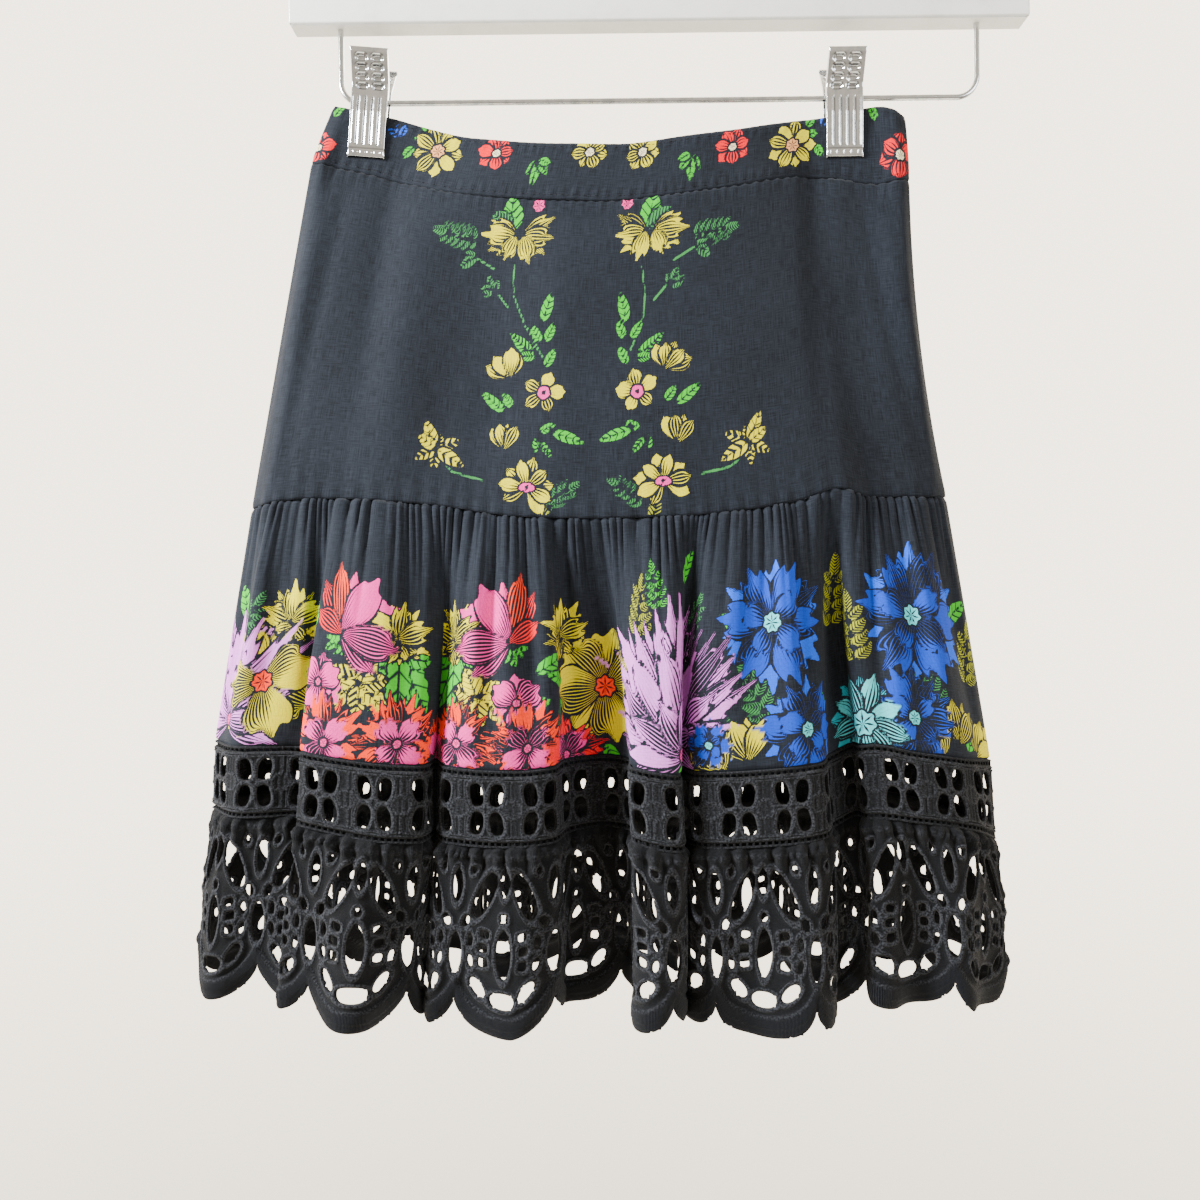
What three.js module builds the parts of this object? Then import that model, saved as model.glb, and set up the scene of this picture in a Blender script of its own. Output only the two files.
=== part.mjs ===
// A tiered cotton mini skirt with a cutwork lace hem, hung by its waistband from the two clips of a hanger.
// Millimetres, +Z up. The origin is the saddle of the hook, the point that rests on a rail. The front of the
// skirt faces -Y. Left and right are as someone in front of it sees them.
// Every cloth piece is a wall. A flat pattern in u (across the cloth, 0 at the left side seam and 1 at the
// right) and v (down the piece, 0 at its upper seam and 1 at its lower one) is bent onto the hanging shape.
import * as THREE from 'three';

// Driving dimensions
const SEAM_GAP = 0.3;
const SKIRT_X = -32;
const BAND_WALL = 1.6;
const COTTON_WALL = 1.2;
const LACE_WALL = 1.4;
const WAIST_COLUMNS = 40;
const GATHERS = 60;
const GATHER_DEPTH = 1.4;
const GATHER_FADE = 0.45;
const WAVES = 11;
const WAVE_DEPTH_TOP = 1.5;
const WAVE_DEPTH_HEM = 6.5;
const WAVE_EASE = 0.06;
const FLOWERS = 21;
const FLOWER_PITCH = 26.3;
const BAND_HEIGHT = 38;
const SCALLOPS = 12;
const SCALLOP_PITCH = 55;
const SCALLOP_SAG = 17;
const RUFFLE_HEIGHT = 92;
const BAR = { length: 389, thick: 12, height: 40, underside: -106 };
const WIRE = { radius: 1.5, legX: 168.5, runZ: -145.5, corner: 11 };
const HOOK = { radius: 2, inner: 19, steps: 16 };
const CLIP = { width: 19.5, above: 22.5, below: 31 };
const SPRING = { outer: 4.3, length: 10, turns: 4 };
const clips = [
  { name: 'left', x: -152.9, springX: -151.5, tilt: 5, lift: 1 },
  { name: 'right', x: 97.3, springX: 97.3, tilt: 0, lift: -1.5 },
];

// A table's rows as objects, by the names of its columns
const table = (columns, rows) => (
  rows.map((row) => Object.fromEntries(columns.map((name, k) => [name, row[k]])))
);

// Where each section's left and right edges hang, from the middle of the skirt
const sections = {
  waistTop: { left: -140.2, right: 161.6 },
  waistSeam: { left: -152.4, right: 163.6 },
  tierSeam: { left: -186, right: 181 },
  bandTop: { left: -207, right: 203 },
  bandBottom: { left: -209, right: 206 },
  hem: { left: -217, right: 209 },
};

// How far each side edge swings along X from the line between its seams, half-way down the piece
const sideSwing = {
  waistband: { left: 0, right: 0 },
  upper: { left: 0, right: -4.2 },
  tier: { left: 0, right: 0 },
  lace_band: { left: 0, right: 0 },
  lace_ruffle: { left: -2, right: 3 },
};

// Height of each seam and of the hem along the skirt's width: share 0 is the left edge and 1 the right
const heights = table(['share', 'waistTop', 'waistSeam', 'tierSeam', 'bandTop', 'bandBottom', 'hem'], [
  [0, -147, -177, -359.5, -482, -518, -611],
  [0.1, -154, -184, -356.5, -482.5, -518, -607],
  [0.25, -167.5, -197.5, -360, -489.5, -527, -613],
  [0.4, -173.5, -203.5, -367.8, -493.5, -530.5, -619],
  [0.5, -174.5, -205, -369, -490.5, -527, -612],
  [0.6, -171, -202, -368.5, -495.5, -532.5, -616],
  [0.7, -166, -197, -365.5, -493.5, -530.5, -621],
  [0.78, -160.5, -191, -360.5, -490.5, -527, -619],
  [0.83, -157.5, -188, -354.7, -484, -521, -612],
  [0.88, -155.5, -189, -358.3, -488, -523.5, -614],
  [0.95, -151, -192, -358.4, -493, -529.5, -619],
  [1, -156, -189.5, -357.5, -497, -539, -626],
]);

// How far each side's cloth stands out from the middle plane, above the gathered tier. Hip is half-way down
// the upper panel. The clips pinch the cloth flat at 0.02 to 0.12 and at 0.84 to 0.94.
const depthColumns = ['share', 'waistTop', 'waistSeam', 'hip', 'tierSeam'];
const depths = {
  front: table(depthColumns, [
    [0, 0.15, 0.15, 0.15, 0.15],
    [0.02, 0.95, 3, 8, 9],
    [0.04, 0.95, 1.1, 12, 15],
    [0.13, 0.95, 1.1, 13, 18],
    [0.2, 3, 6, 16, 21],
    [0.3, 8, 11, 14, 22],
    [0.45, 12, 15, 21, 26],
    [0.6, 12, 15, 22, 27],
    [0.72, 8, 12, 20, 26],
    [0.8, 3, 6, 17, 24],
    [0.84, 0.95, 1.1, 13, 22],
    [0.89, 0.95, 1.1, 8, 13],
    [0.94, 0.95, 1.2, 9, 12],
    [0.98, 3, 4, 8, 8],
    [1, 0.15, 0.15, 0.15, 0.15],
  ]),
  back: table(depthColumns, [
    [0, 0.15, 0.15, 0.15, 0.15],
    [0.02, 0.95, 3, 7, 8],
    [0.04, 0.95, 1.1, 10, 13],
    [0.13, 0.95, 1.1, 11, 17],
    [0.22, 4, 7, 17, 23],
    [0.35, 9, 12, 20, 26],
    [0.5, 11, 14, 18, 25],
    [0.65, 10, 13, 21, 27],
    [0.78, 4, 7, 18, 24],
    [0.84, 0.95, 1.1, 12, 19],
    [0.94, 0.95, 1.2, 10, 14],
    [0.98, 3, 4, 7, 8],
    [1, 0.15, 0.15, 0.15, 0.15],
  ]),
};

// Plan of the hanging folds at the lace band: a row for each crest and valley, across and out from the middle
const folds = {
  front: [
    { x: -207, out: 0.15 }, { x: -186, out: 22 }, { x: -152, out: 20 }, { x: -150, out: 34 },
    { x: -91, out: 36 }, { x: -86, out: 18 }, { x: -78, out: 33 }, { x: -26, out: 34 },
    { x: -18, out: 17 }, { x: 12, out: 15 }, { x: 15, out: 40 }, { x: 36, out: 42 },
    { x: 40, out: 22 }, { x: 47, out: 34 }, { x: 107, out: 36 }, { x: 117, out: 18 },
    { x: 129, out: 14 }, { x: 133, out: 26 }, { x: 184, out: 20 }, { x: 207, out: 0.15 },
  ],
  back: [
    { x: -207, out: 0.15 }, { x: -188, out: 20 }, { x: -150, out: 28 }, { x: -143, out: 14 },
    { x: -126, out: 16 }, { x: -120, out: 34 }, { x: -70, out: 38 }, { x: -62, out: 20 },
    { x: -42, out: 18 }, { x: -36, out: 36 }, { x: 18, out: 40 }, { x: 26, out: 22 },
    { x: 40, out: 20 }, { x: 47, out: 38 }, { x: 98, out: 36 }, { x: 106, out: 20 },
    { x: 128, out: 18 }, { x: 134, out: 30 }, { x: 184, out: 20 }, { x: 207, out: 0.15 },
  ],
};
const foldSpread = { bandTop: 1, bandBottom: 1.04, hem: 1.2 };

// The five largest holes of one scallop of the ruffle, in millimetres from its left notch and its upper seam
const ruffleHoles = [
  { name: 'left petal', x: 18, y: 20, wide: 12, tall: 30, turn: -27, sides: 8 },
  { name: 'right petal', x: 37, y: 20, wide: 12, tall: 30, turn: 27, sides: 8 },
  { name: 'almond', x: 27.5, y: 51, wide: 12, tall: 28, turn: 0, sides: 8 },
  { name: 'side oval', x: 1, y: 50, wide: 10, tall: 25, turn: 0, sides: 6 },
  { name: 'fan', x: 27.5, y: 75, wide: 20, tall: 10, turn: 0, sides: 6 },
];
const RUFFLE_CELL_LEAD = 0.13;
const EDGE_BEND = 0.02;

// Value of one column of a table at a share of the width: a cubic that doesn't swing past its rows
function lookup(rows, column, share) {
  const last = rows.length - 2;
  let k = 0;
  while (k < last && share > rows[k + 1].share) k += 1;
  const secant = (i) => (rows[i + 1][column] - rows[i][column]) / (rows[i + 1].share - rows[i].share);
  const slope = (i) => {
    if (i === 0) return secant(0);
    if (i === rows.length - 1) return secant(last);
    const before = secant(i - 1);
    const after = secant(i);
    return before * after <= 0 ? 0 : (2 * before * after) / (before + after);
  };
  const step = rows[k + 1].share - rows[k].share;
  const t = (share - rows[k].share) / step;
  const rise = rows[k + 1][column] - rows[k][column];
  const start = slope(k) * step;
  const end = slope(k + 1) * step;
  return rows[k][column] + t * (start + t * (3 * rise - 2 * start - end + t * (start + end - 2 * rise)));
}

const mix = (a, b, t) => a + (b - a) * t;
const ease = (u) => Math.min(1, u / WAVE_EASE, (1 - u) / WAVE_EASE);
const foldCurve = (rows) => {
  const points = rows.map((row) => new THREE.Vector3(row.x, row.out, 0));
  return new THREE.CatmullRomCurve3(points, false, 'centripetal');
};
const foldCurves = { front: foldCurve(folds.front), back: foldCurve(folds.back) };

// Plan point of the smooth upper sections: how far out, and at which share of the width
function smoothPlan(side, section, u) {
  return { out: lookup(depths[side], section, u), share: u };
}

// Plan point of the folded lower sections, at u measured along the folded cloth
function foldedPlan(side, section, u) {
  const at = foldCurves[side].getPointAt(u);
  const [first, last] = [folds[side][0], folds[side].at(-1)];
  return { out: mix(first.out, at.y, foldSpread[section]), share: (at.x - first.x) / (last.x - first.x) };
}

const plans = {
  waistband: (side, u, v) => {
    const [top, low] = [smoothPlan(side, 'waistTop', u), smoothPlan(side, 'waistSeam', u)];
    return { top, low, out: mix(top.out, low.out, v) };
  },
  upper: (side, u, v) => {
    const [top, low] = [smoothPlan(side, 'waistSeam', u), smoothPlan(side, 'tierSeam', u)];
    const hip = lookup(depths[side], 'hip', u);
    const out = top.out * (1 - v) * (1 - 2 * v) + 4 * hip * v * (1 - v) + low.out * v * (2 * v - 1);
    return { top, low, out };
  },
  tier: (side, u, v) => {
    const [top, low] = [smoothPlan(side, 'tierSeam', u), foldedPlan(side, 'bandTop', u)];
    const fade = Math.max(0, 1 - v / GATHER_FADE) ** 2;
    const gather = GATHER_DEPTH * fade * ease(u) * Math.cos(2 * Math.PI * GATHERS * u);
    return { top, low, out: mix(top.out, low.out, v * (2 - v)) + gather, slide: v * (2 - v) };
  },
  lace_band: (side, u, v) => {
    const [top, low] = [foldedPlan(side, 'bandTop', u), foldedPlan(side, 'bandBottom', u)];
    return { top, low, out: mix(top.out, low.out, v) };
  },
  lace_ruffle: (side, u, v) => {
    const [top, low] = [foldedPlan(side, 'bandBottom', u), foldedPlan(side, 'hem', u)];
    const wave = mix(WAVE_DEPTH_TOP, WAVE_DEPTH_HEM, v) * ease(u) * Math.sin(2 * Math.PI * WAVES * u);
    return { top, low, out: mix(top.out, low.out, v) + wave };
  },
};
const seams = {
  waistband: ['waistTop', 'waistSeam'],
  upper: ['waistSeam', 'tierSeam'],
  tier: ['tierSeam', 'bandTop'],
  lace_band: ['bandTop', 'bandBottom'],
  lace_ruffle: ['bandBottom', 'hem'],
};

// Middle of the wall at u, v
function middle(piece, side, u, v) {
  const { top, low, out, slide = v } = plans[piece](side, u, v);
  const [upper, lower] = seams[piece];
  const swing = 4 * v * (1 - v);
  const left = mix(sections[upper].left, sections[lower].left, v) + sideSwing[piece].left * swing;
  const right = mix(sections[upper].right, sections[lower].right, v) + sideSwing[piece].right * swing;
  const x = mix(left, right, mix(top.share, low.share, slide));
  const from = lookup(heights, upper, top.share) - SEAM_GAP / 2;
  const to = lookup(heights, lower, low.share) + SEAM_GAP / 2;
  const facing = side === 'front' ? -1 : 1;
  return new THREE.Vector3(SKIRT_X + x, facing * out, mix(from, to, v));
}

// The level direction square to the wall at u, v. A wall's edges at its seams stay level, and at the side
// seams the direction is along X, so that neighbours meet flat.
function outward(piece, side, u, v) {
  if (u === 0 || u === 1) return new THREE.Vector3(u === 0 ? -1 : 1, 0, 0);
  const step = 0.002;
  const [before, after] = [Math.max(0, u - step), Math.min(1, u + step)];
  const [above, below] = [Math.max(0, v - step), Math.min(1, v + step)];
  const across = middle(piece, side, after, v).sub(middle(piece, side, before, v));
  const down = middle(piece, side, u, below).sub(middle(piece, side, u, above));
  const normal = side === 'front' ? down.cross(across) : across.cross(down);
  return normal.setZ(0).normalize();
}

// A closed wall from a flat pattern: its two faces, and a rim round its outline and its holes
function clothWall(pattern, piece, side, thickness) {
  const count = pattern.points.length;
  const positions = [];
  for (const half of [thickness / 2, -thickness / 2]) {
    for (const [u, v] of pattern.points) {
      positions.push(...middle(piece, side, u, v).addScaledVector(outward(piece, side, u, v), half));
    }
  }
  const index = [];
  const edges = new Set(pattern.triangles.flatMap(([a, b, c]) => [`${a},${b}`, `${b},${c}`, `${c},${a}`]));
  const outside = side === 'front';
  const face = (a, b, c) => index.push(...(outside ? [a, b, c] : [a, c, b]));
  for (const [a, b, c] of pattern.triangles) {
    face(a, b, c);
    face(a + count, c + count, b + count);
    for (const [p, q] of [[a, b], [b, c], [c, a]]) {
      if (edges.has(`${q},${p}`)) continue;
      face(q, p, p + count);
      face(q, p + count, q + count);
    }
  }
  const geometry = new THREE.BufferGeometry();
  geometry.setAttribute('position', new THREE.Float32BufferAttribute(positions, 3));
  geometry.setIndex(index);
  geometry.computeVertexNormals();
  return geometry;
}

// Pattern made of rows of points. Each row has its v and its number of columns.
function rowPattern(rows) {
  const points = [];
  const starts = rows.map(({ v, columns }) => {
    const start = points.length;
    for (let k = 0; k <= columns; k += 1) points.push([k / columns, v]);
    return start;
  });
  const triangles = [];
  for (let r = 0; r + 1 < rows.length; r += 1) {
    const [upper, lower] = [rows[r].columns, rows[r + 1].columns];
    let [i, j] = [0, 0];
    while (i < upper || j < lower) {
      const [a, b] = [starts[r] + i, starts[r + 1] + j];
      if (j === lower || (i < upper && (i + 1) / upper <= (j + 1) / lower)) {
        triangles.push([a, b, a + 1]);
        i += 1;
      } else {
        triangles.push([a, b, b + 1]);
        j += 1;
      }
    }
  }
  return { points, triangles };
}

// A cell's point, moved as if the cell's straight edges were bent slightly inward. Points in line on such an
// edge then count as its corners when the cell is cut into triangles, and neighbours keep the same corners.
function bentPoint(point, centre, half) {
  const [x, y] = [(point.x - centre.x) / half.x, (point.y - centre.y) / half.y];
  return new THREE.Vector2(
    point.x - EDGE_BEND * half.x * x * (1 - y * y),
    point.y - EDGE_BEND * half.y * y * (1 - x * x),
  );
}

// Pattern made of repeated cells, each an outline in u, v with its holes. Shared corners are merged.
function cellPattern(cells) {
  const points = [];
  const found = new Map();
  const add = (point) => {
    const key = `${point.x.toFixed(5)},${point.y.toFixed(5)}`;
    if (!found.has(key)) {
      found.set(key, points.length);
      points.push([point.x, point.y]);
    }
    return found.get(key);
  };
  const triangles = cells.flatMap(({ outline, holes }) => {
    const box = new THREE.Box2().setFromPoints(outline);
    const centre = box.getCenter(new THREE.Vector2());
    const half = box.getSize(new THREE.Vector2()).divideScalar(2);
    const bent = [outline, ...holes].map((ring) => ring.map((point) => bentPoint(point, centre, half)));
    const all = [outline, ...holes].flat().map(add);
    const flat = bent.flat();
    return THREE.ShapeUtils.triangulateShape(bent[0], bent.slice(1)).map(([a, b, c]) => {
      const turn = flat[b].clone().sub(flat[a]).cross(flat[c].clone().sub(flat[a]));
      return turn < 0 ? [all[a], all[b], all[c]] : [all[a], all[c], all[b]];
    });
  });
  return { points, triangles };
}

// One rounded quarter of a four-hole flower, in millimetres from the flower's middle
function quarterHole(signX, signY) {
  const [bar, wide, tall] = [0.9, 7.6, 12.6];
  const corners = [[0, 0], [0.62, 0], [1, 0.35], [0.86, 0.78], [0.45, 1], [0, 0.9]];
  return corners.map(([x, y]) => [signX * (bar + wide * x), signY * (bar + tall * y)]);
}

// The insertion band: a flower of four holes at each pitch, its upper and lower halves a cell each
function bandPattern() {
  const half = BAND_HEIGHT / 2;
  const columns = [0, 1, 2, 3].map((k) => (k * FLOWER_PITCH) / 3);
  const cells = [];
  for (let flower = 0; flower < FLOWERS; flower += 1) {
    const place = ([x, y]) => new THREE.Vector2(
      (flower + x / FLOWER_PITCH) / FLOWERS,
      (half + y) / BAND_HEIGHT,
    );
    for (const signY of [-1, 1]) {
      const outline = [[0, 0], ...columns.map((x) => [x, signY * half]), [FLOWER_PITCH, 0]];
      const holes = [-1, 1].map((signX) => (
        quarterHole(signX, signY).map(([x, y]) => place([FLOWER_PITCH / 2 + x, y]))
      ));
      cells.push({ outline: outline.map(place), holes });
    }
  }
  return cellPattern(cells);
}

// Height of the scalloped hem, down from the ruffle's seam, at a distance across it
function scallopEdge(x) {
  const radius = ((SCALLOP_PITCH / 2) ** 2 + SCALLOP_SAG ** 2) / (2 * SCALLOP_SAG);
  const along = (((x % SCALLOP_PITCH) + SCALLOP_PITCH) % SCALLOP_PITCH) - SCALLOP_PITCH / 2;
  return RUFFLE_HEIGHT - radius + Math.sqrt(radius ** 2 - along ** 2);
}

// An oval hole with a few straight sides, turned by its angle in degrees
function ovalHole({ x, y, wide, tall, turn, sides }) {
  const tilt = THREE.MathUtils.degToRad(turn);
  return Array.from({ length: sides }, (_, k) => {
    const angle = (2 * Math.PI * k) / sides;
    const [px, py] = [(wide / 2) * Math.cos(angle), (tall / 2) * Math.sin(angle)];
    return [x + px * Math.cos(tilt) - py * Math.sin(tilt), y + px * Math.sin(tilt) + py * Math.cos(tilt)];
  });
}

// The ruffle: a cell for each scallop. At its seam a cell has the band's own columns. Below, its edges run a
// little before the scallop's notch, so that no hole crosses them.
function rufflePattern() {
  const total = SCALLOPS * SCALLOP_PITCH;
  const column = total / (3 * FLOWERS);
  const hemShares = [0, 0.13, 0.3, 0.46, 0.63, 0.8, 1];
  const within = (x) => Math.min(total, Math.max(0, x));
  const cells = [];
  for (let cell = 0; cell <= SCALLOPS; cell += 1) {
    const notch = cell * SCALLOP_PITCH;
    const top = [];
    const firstColumn = Math.round(notch / column);
    const lastColumn = Math.round(within(notch + SCALLOP_PITCH) / column);
    for (let k = firstColumn; k <= lastColumn; k += 1) top.push([k * column, 0]);
    const hem = hemShares
      .map((share) => within(notch + (share - RUFFLE_CELL_LEAD) * SCALLOP_PITCH))
      .filter((x, k, all) => k === 0 || x > all[k - 1]);
    const [first, last] = [hem[0], hem.at(-1)];
    const edge = (x) => [0.34, 0.66].map((share) => [x, share * scallopEdge(x)]);
    const outline = [
      ...top, ...edge(last), ...hem.toReversed().map((x) => [x, scallopEdge(x)]), ...edge(first).toReversed(),
    ];
    const inside = (points) => points.every(([x]) => x > first + 1 && x < last - 1);
    const holes = ruffleHoles.map((hole) => ovalHole({ ...hole, x: hole.x + notch })).filter(inside);
    const place = ([x, y]) => new THREE.Vector2(x / total, y / RUFFLE_HEIGHT);
    cells.push({ outline: outline.map(place), holes: holes.map((hole) => hole.map(place)) });
  }
  return cellPattern(cells);
}

const evenRows = (columns, levels) => levels.map((v) => ({ v, columns }));
const finish = (name, color, roughness, metalness = 0) => (
  new THREE.MeshStandardMaterial({ name, color, roughness, metalness })
);
const cotton = finish('printed_cotton', 0x1d2026, 0.85);
const lace = finish('lace', 0x131419, 0.95);
const chrome = finish('chrome', 0xc9ccd0, 0.15, 1);
const paint = finish('white_paint', 0xeeeeec, 0.45);

const cloth = [
  {
    piece: 'waistband',
    pattern: rowPattern(evenRows(WAIST_COLUMNS, [0, 1])),
    wall: BAND_WALL,
    material: cotton,
  },
  {
    piece: 'upper',
    pattern: rowPattern([...evenRows(WAIST_COLUMNS, [0, 0.3, 0.65]), ...evenRows(GATHERS, [1])]),
    wall: COTTON_WALL,
    material: cotton,
  },
  {
    piece: 'tier',
    pattern: rowPattern([...evenRows(2 * GATHERS, [0, 0.12]), ...evenRows(3 * FLOWERS, [0.42, 0.7, 1])]),
    wall: COTTON_WALL,
    material: cotton,
  },
  { piece: 'lace_band', pattern: bandPattern(), wall: LACE_WALL, material: lace },
  { piece: 'lace_ruffle', pattern: rufflePattern(), wall: LACE_WALL, material: lace },
];

const skirtOnHanger = new THREE.Group();

function addMesh(name, geometry, material, parent = skirtOnHanger) {
  const mesh = new THREE.Mesh(geometry, material);
  mesh.name = name;
  parent.add(mesh);
  return mesh;
}

for (const { piece, pattern, wall, material } of cloth) {
  for (const side of ['front', 'back']) {
    addMesh(`${piece}_${side}`, clothWall(pattern, piece, side, wall), material);
  }
}

// A round wire along a path in the XZ plane, with flat ends
function rod(path, radius, sides = 8) {
  const positions = [];
  path.forEach((point, k) => {
    const before = path[Math.max(0, k - 1)];
    const after = path[Math.min(path.length - 1, k + 1)];
    const along = new THREE.Vector2().subVectors(after, before).normalize();
    for (let s = 0; s < sides; s += 1) {
      const turn = (2 * Math.PI * s) / sides;
      const side = radius * Math.cos(turn);
      positions.push(point.x - side * along.y, radius * Math.sin(turn), point.y + side * along.x);
    }
  });
  const index = [];
  for (let k = 0; k + 1 < path.length; k += 1) {
    for (let s = 0; s < sides; s += 1) {
      const [a, b] = [k * sides + s, k * sides + ((s + 1) % sides)];
      index.push(a, a + sides, b, b, a + sides, b + sides);
    }
  }
  const end = (path.length - 1) * sides;
  for (let s = 1; s + 1 < sides; s += 1) index.push(0, s, s + 1, end, end + s + 1, end + s);
  const geometry = new THREE.BufferGeometry();
  geometry.setAttribute('position', new THREE.Float32BufferAttribute(positions, 3));
  geometry.setIndex(index);
  geometry.computeVertexNormals();
  return geometry;
}

function arcPath(x, z, radius, fromDegrees, toDegrees, steps) {
  return Array.from({ length: steps + 1 }, (_, k) => {
    const angle = THREE.MathUtils.degToRad(mix(fromDegrees, toDegrees, k / steps));
    return new THREE.Vector2(x + radius * Math.cos(angle), z + radius * Math.sin(angle));
  });
}

function hanger() {
  const group = new THREE.Group();
  const bar = addMesh('hanger_bar', new THREE.BoxGeometry(BAR.length, BAR.thick, BAR.height), paint, group);
  bar.position.z = BAR.underside + BAR.height / 2;

  const top = BAR.underside + BAR.height + SEAM_GAP;
  const ring = HOOK.inner + HOOK.radius;
  const hookPath = [
    new THREE.Vector2(0, top),
    new THREE.Vector2(0, -HOOK.inner - ring - HOOK.radius),
    ...arcPath(0, -HOOK.inner, ring, -50, 190, HOOK.steps),
  ];
  addMesh('hanger_hook', rod(hookPath, HOOK.radius), chrome, group);

  const legTop = BAR.underside - SEAM_GAP;
  const bend = WIRE.runZ + WIRE.corner;
  const wirePath = [
    new THREE.Vector2(-WIRE.legX, legTop),
    ...arcPath(WIRE.corner - WIRE.legX, bend, WIRE.corner, 180, 270, 5),
    ...arcPath(WIRE.legX - WIRE.corner, bend, WIRE.corner, 270, 360, 5),
    new THREE.Vector2(WIRE.legX, legTop),
  ];
  addMesh('hanger_wire', rod(wirePath, WIRE.radius), chrome, group);
  return group;
}

// One jaw, as its outline from the side: out from the cloth, and height over the wire
function jawGeometry() {
  const outline = [
    [2.2, -CLIP.below], [3.4, -CLIP.below], [4.6, 1.6 - CLIP.below], [12, CLIP.above],
    [10.4, CLIP.above], [4.6, 7], [4.6, -8], [2.2, 9 - CLIP.below],
  ];
  const shape = new THREE.Shape(outline.map(([out, z]) => new THREE.Vector2(out, z)));
  const geometry = new THREE.ExtrudeGeometry(shape, { depth: CLIP.width, bevelEnabled: false });
  geometry.translate(0, 0, -CLIP.width / 2);
  return geometry;
}

// The coil round the wire, as one ribbed sleeve along X
function springGeometry() {
  const inner = WIRE.radius + SEAM_GAP;
  const profile = [new THREE.Vector2(inner, -SPRING.length / 2)];
  const pitch = SPRING.length / SPRING.turns;
  for (let k = 0; k < SPRING.turns; k += 1) {
    const from = -SPRING.length / 2 + k * pitch;
    profile.push(new THREE.Vector2(SPRING.outer - 0.8, from));
    profile.push(new THREE.Vector2(SPRING.outer, from + pitch / 2));
  }
  profile.push(new THREE.Vector2(SPRING.outer - 0.8, SPRING.length / 2));
  profile.push(new THREE.Vector2(inner, SPRING.length / 2), profile[0].clone());
  return new THREE.LatheGeometry(profile, 10);
}

function clip({ name, x, springX, tilt, lift }) {
  const jaws = new THREE.Group();
  jaws.position.set(x, 0, WIRE.runZ + lift);
  jaws.rotation.y = THREE.MathUtils.degToRad(tilt);
  for (const [end, facing] of [['front', -1], ['rear', 1]]) {
    const jaw = addMesh(`clip_${name}_${end}_jaw`, jawGeometry(), chrome, jaws);
    const [out, up] = [new THREE.Vector3(0, facing, 0), new THREE.Vector3(0, 0, 1)];
    jaw.setRotationFromMatrix(new THREE.Matrix4().makeBasis(out, up, out.clone().cross(up)));
  }
  const group = new THREE.Group();
  const spring = addMesh(`clip_${name}_spring`, springGeometry(), chrome, group);
  spring.rotation.z = -Math.PI / 2;
  spring.position.set(springX, 0, WIRE.runZ);
  return group.add(jaws);
}

skirtOnHanger.add(hanger(), ...clips.map(clip));

export default skirtOnHanger;
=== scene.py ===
import logging
import math
from dataclasses import dataclass, field
from enum import Enum
from typing import Callable, Iterable, Sequence

import bmesh
import bpy
import numpy as np
from mathutils import Matrix, Vector


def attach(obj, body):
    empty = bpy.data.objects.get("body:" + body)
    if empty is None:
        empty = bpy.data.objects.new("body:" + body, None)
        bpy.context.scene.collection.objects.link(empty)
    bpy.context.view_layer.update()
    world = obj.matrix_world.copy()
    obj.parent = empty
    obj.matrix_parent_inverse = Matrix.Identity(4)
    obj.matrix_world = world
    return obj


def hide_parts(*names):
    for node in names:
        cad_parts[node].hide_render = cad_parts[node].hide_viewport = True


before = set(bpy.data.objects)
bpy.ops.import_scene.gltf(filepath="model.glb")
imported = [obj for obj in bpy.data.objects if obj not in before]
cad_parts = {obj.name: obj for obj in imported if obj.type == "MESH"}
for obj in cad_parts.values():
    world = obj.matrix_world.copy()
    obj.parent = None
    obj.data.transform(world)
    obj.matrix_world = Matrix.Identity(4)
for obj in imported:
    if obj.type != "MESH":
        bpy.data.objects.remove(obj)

# A tiered cotton mini skirt with a cutwork lace hem, hung from a clip hanger. Lengths in the tables are
# millimetres. Each cloth piece is a flat cut, x across it and y down it, that is bent onto the hanging
# shape of its solid. The tables of that shape are the same as the solids'.

LOG = logging.getLogger("skirt")
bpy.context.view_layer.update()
MM = 0.001
Array = np.ndarray
Mesh = bpy.types.Mesh
Material = bpy.types.Material
Piece = bpy.types.Object
Point = tuple[float, float, float]
ROOT = "root"
SLOPE_STEP = 0.002
SEAM_SHARE = 0.004

SKIRT_X = -32.0
SECTIONS = {
    "waist_top": (-140.2, 161.6),
    "waist_seam": (-152.4, 163.6),
    "tier_seam": (-186.0, 181.0),
    "band_top": (-207.0, 203.0),
    "band_bottom": (-209.0, 206.0),
    "hem": (-217.0, 209.0),
}
SIDE_SWING = {"upper": (0.0, -4.2), "lace_ruffle": (-2.0, 3.0)}
HEIGHT_COLUMNS = ("share", "waist_top", "waist_seam", "tier_seam", "band_top", "band_bottom", "hem")
HEIGHTS = (
    (0, -147, -177, -359.5, -482, -518, -611),
    (0.1, -154, -184, -356.5, -482.5, -518, -607),
    (0.25, -167.5, -197.5, -360, -489.5, -527, -613),
    (0.4, -173.5, -203.5, -367.8, -493.5, -530.5, -619),
    (0.5, -174.5, -205, -369, -490.5, -527, -612),
    (0.6, -171, -202, -368.5, -495.5, -532.5, -616),
    (0.7, -166, -197, -365.5, -493.5, -530.5, -621),
    (0.78, -160.5, -191, -360.5, -490.5, -527, -619),
    (0.83, -157.5, -188, -354.7, -484, -521, -612),
    (0.88, -155.5, -189, -358.3, -488, -523.5, -614),
    (0.95, -151, -192, -358.4, -493, -529.5, -619),
    (1, -156, -189.5, -357.5, -497, -539, -626),
)
DEPTH_COLUMNS = ("share", "waist_top", "waist_seam", "hip", "tier_seam")
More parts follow.
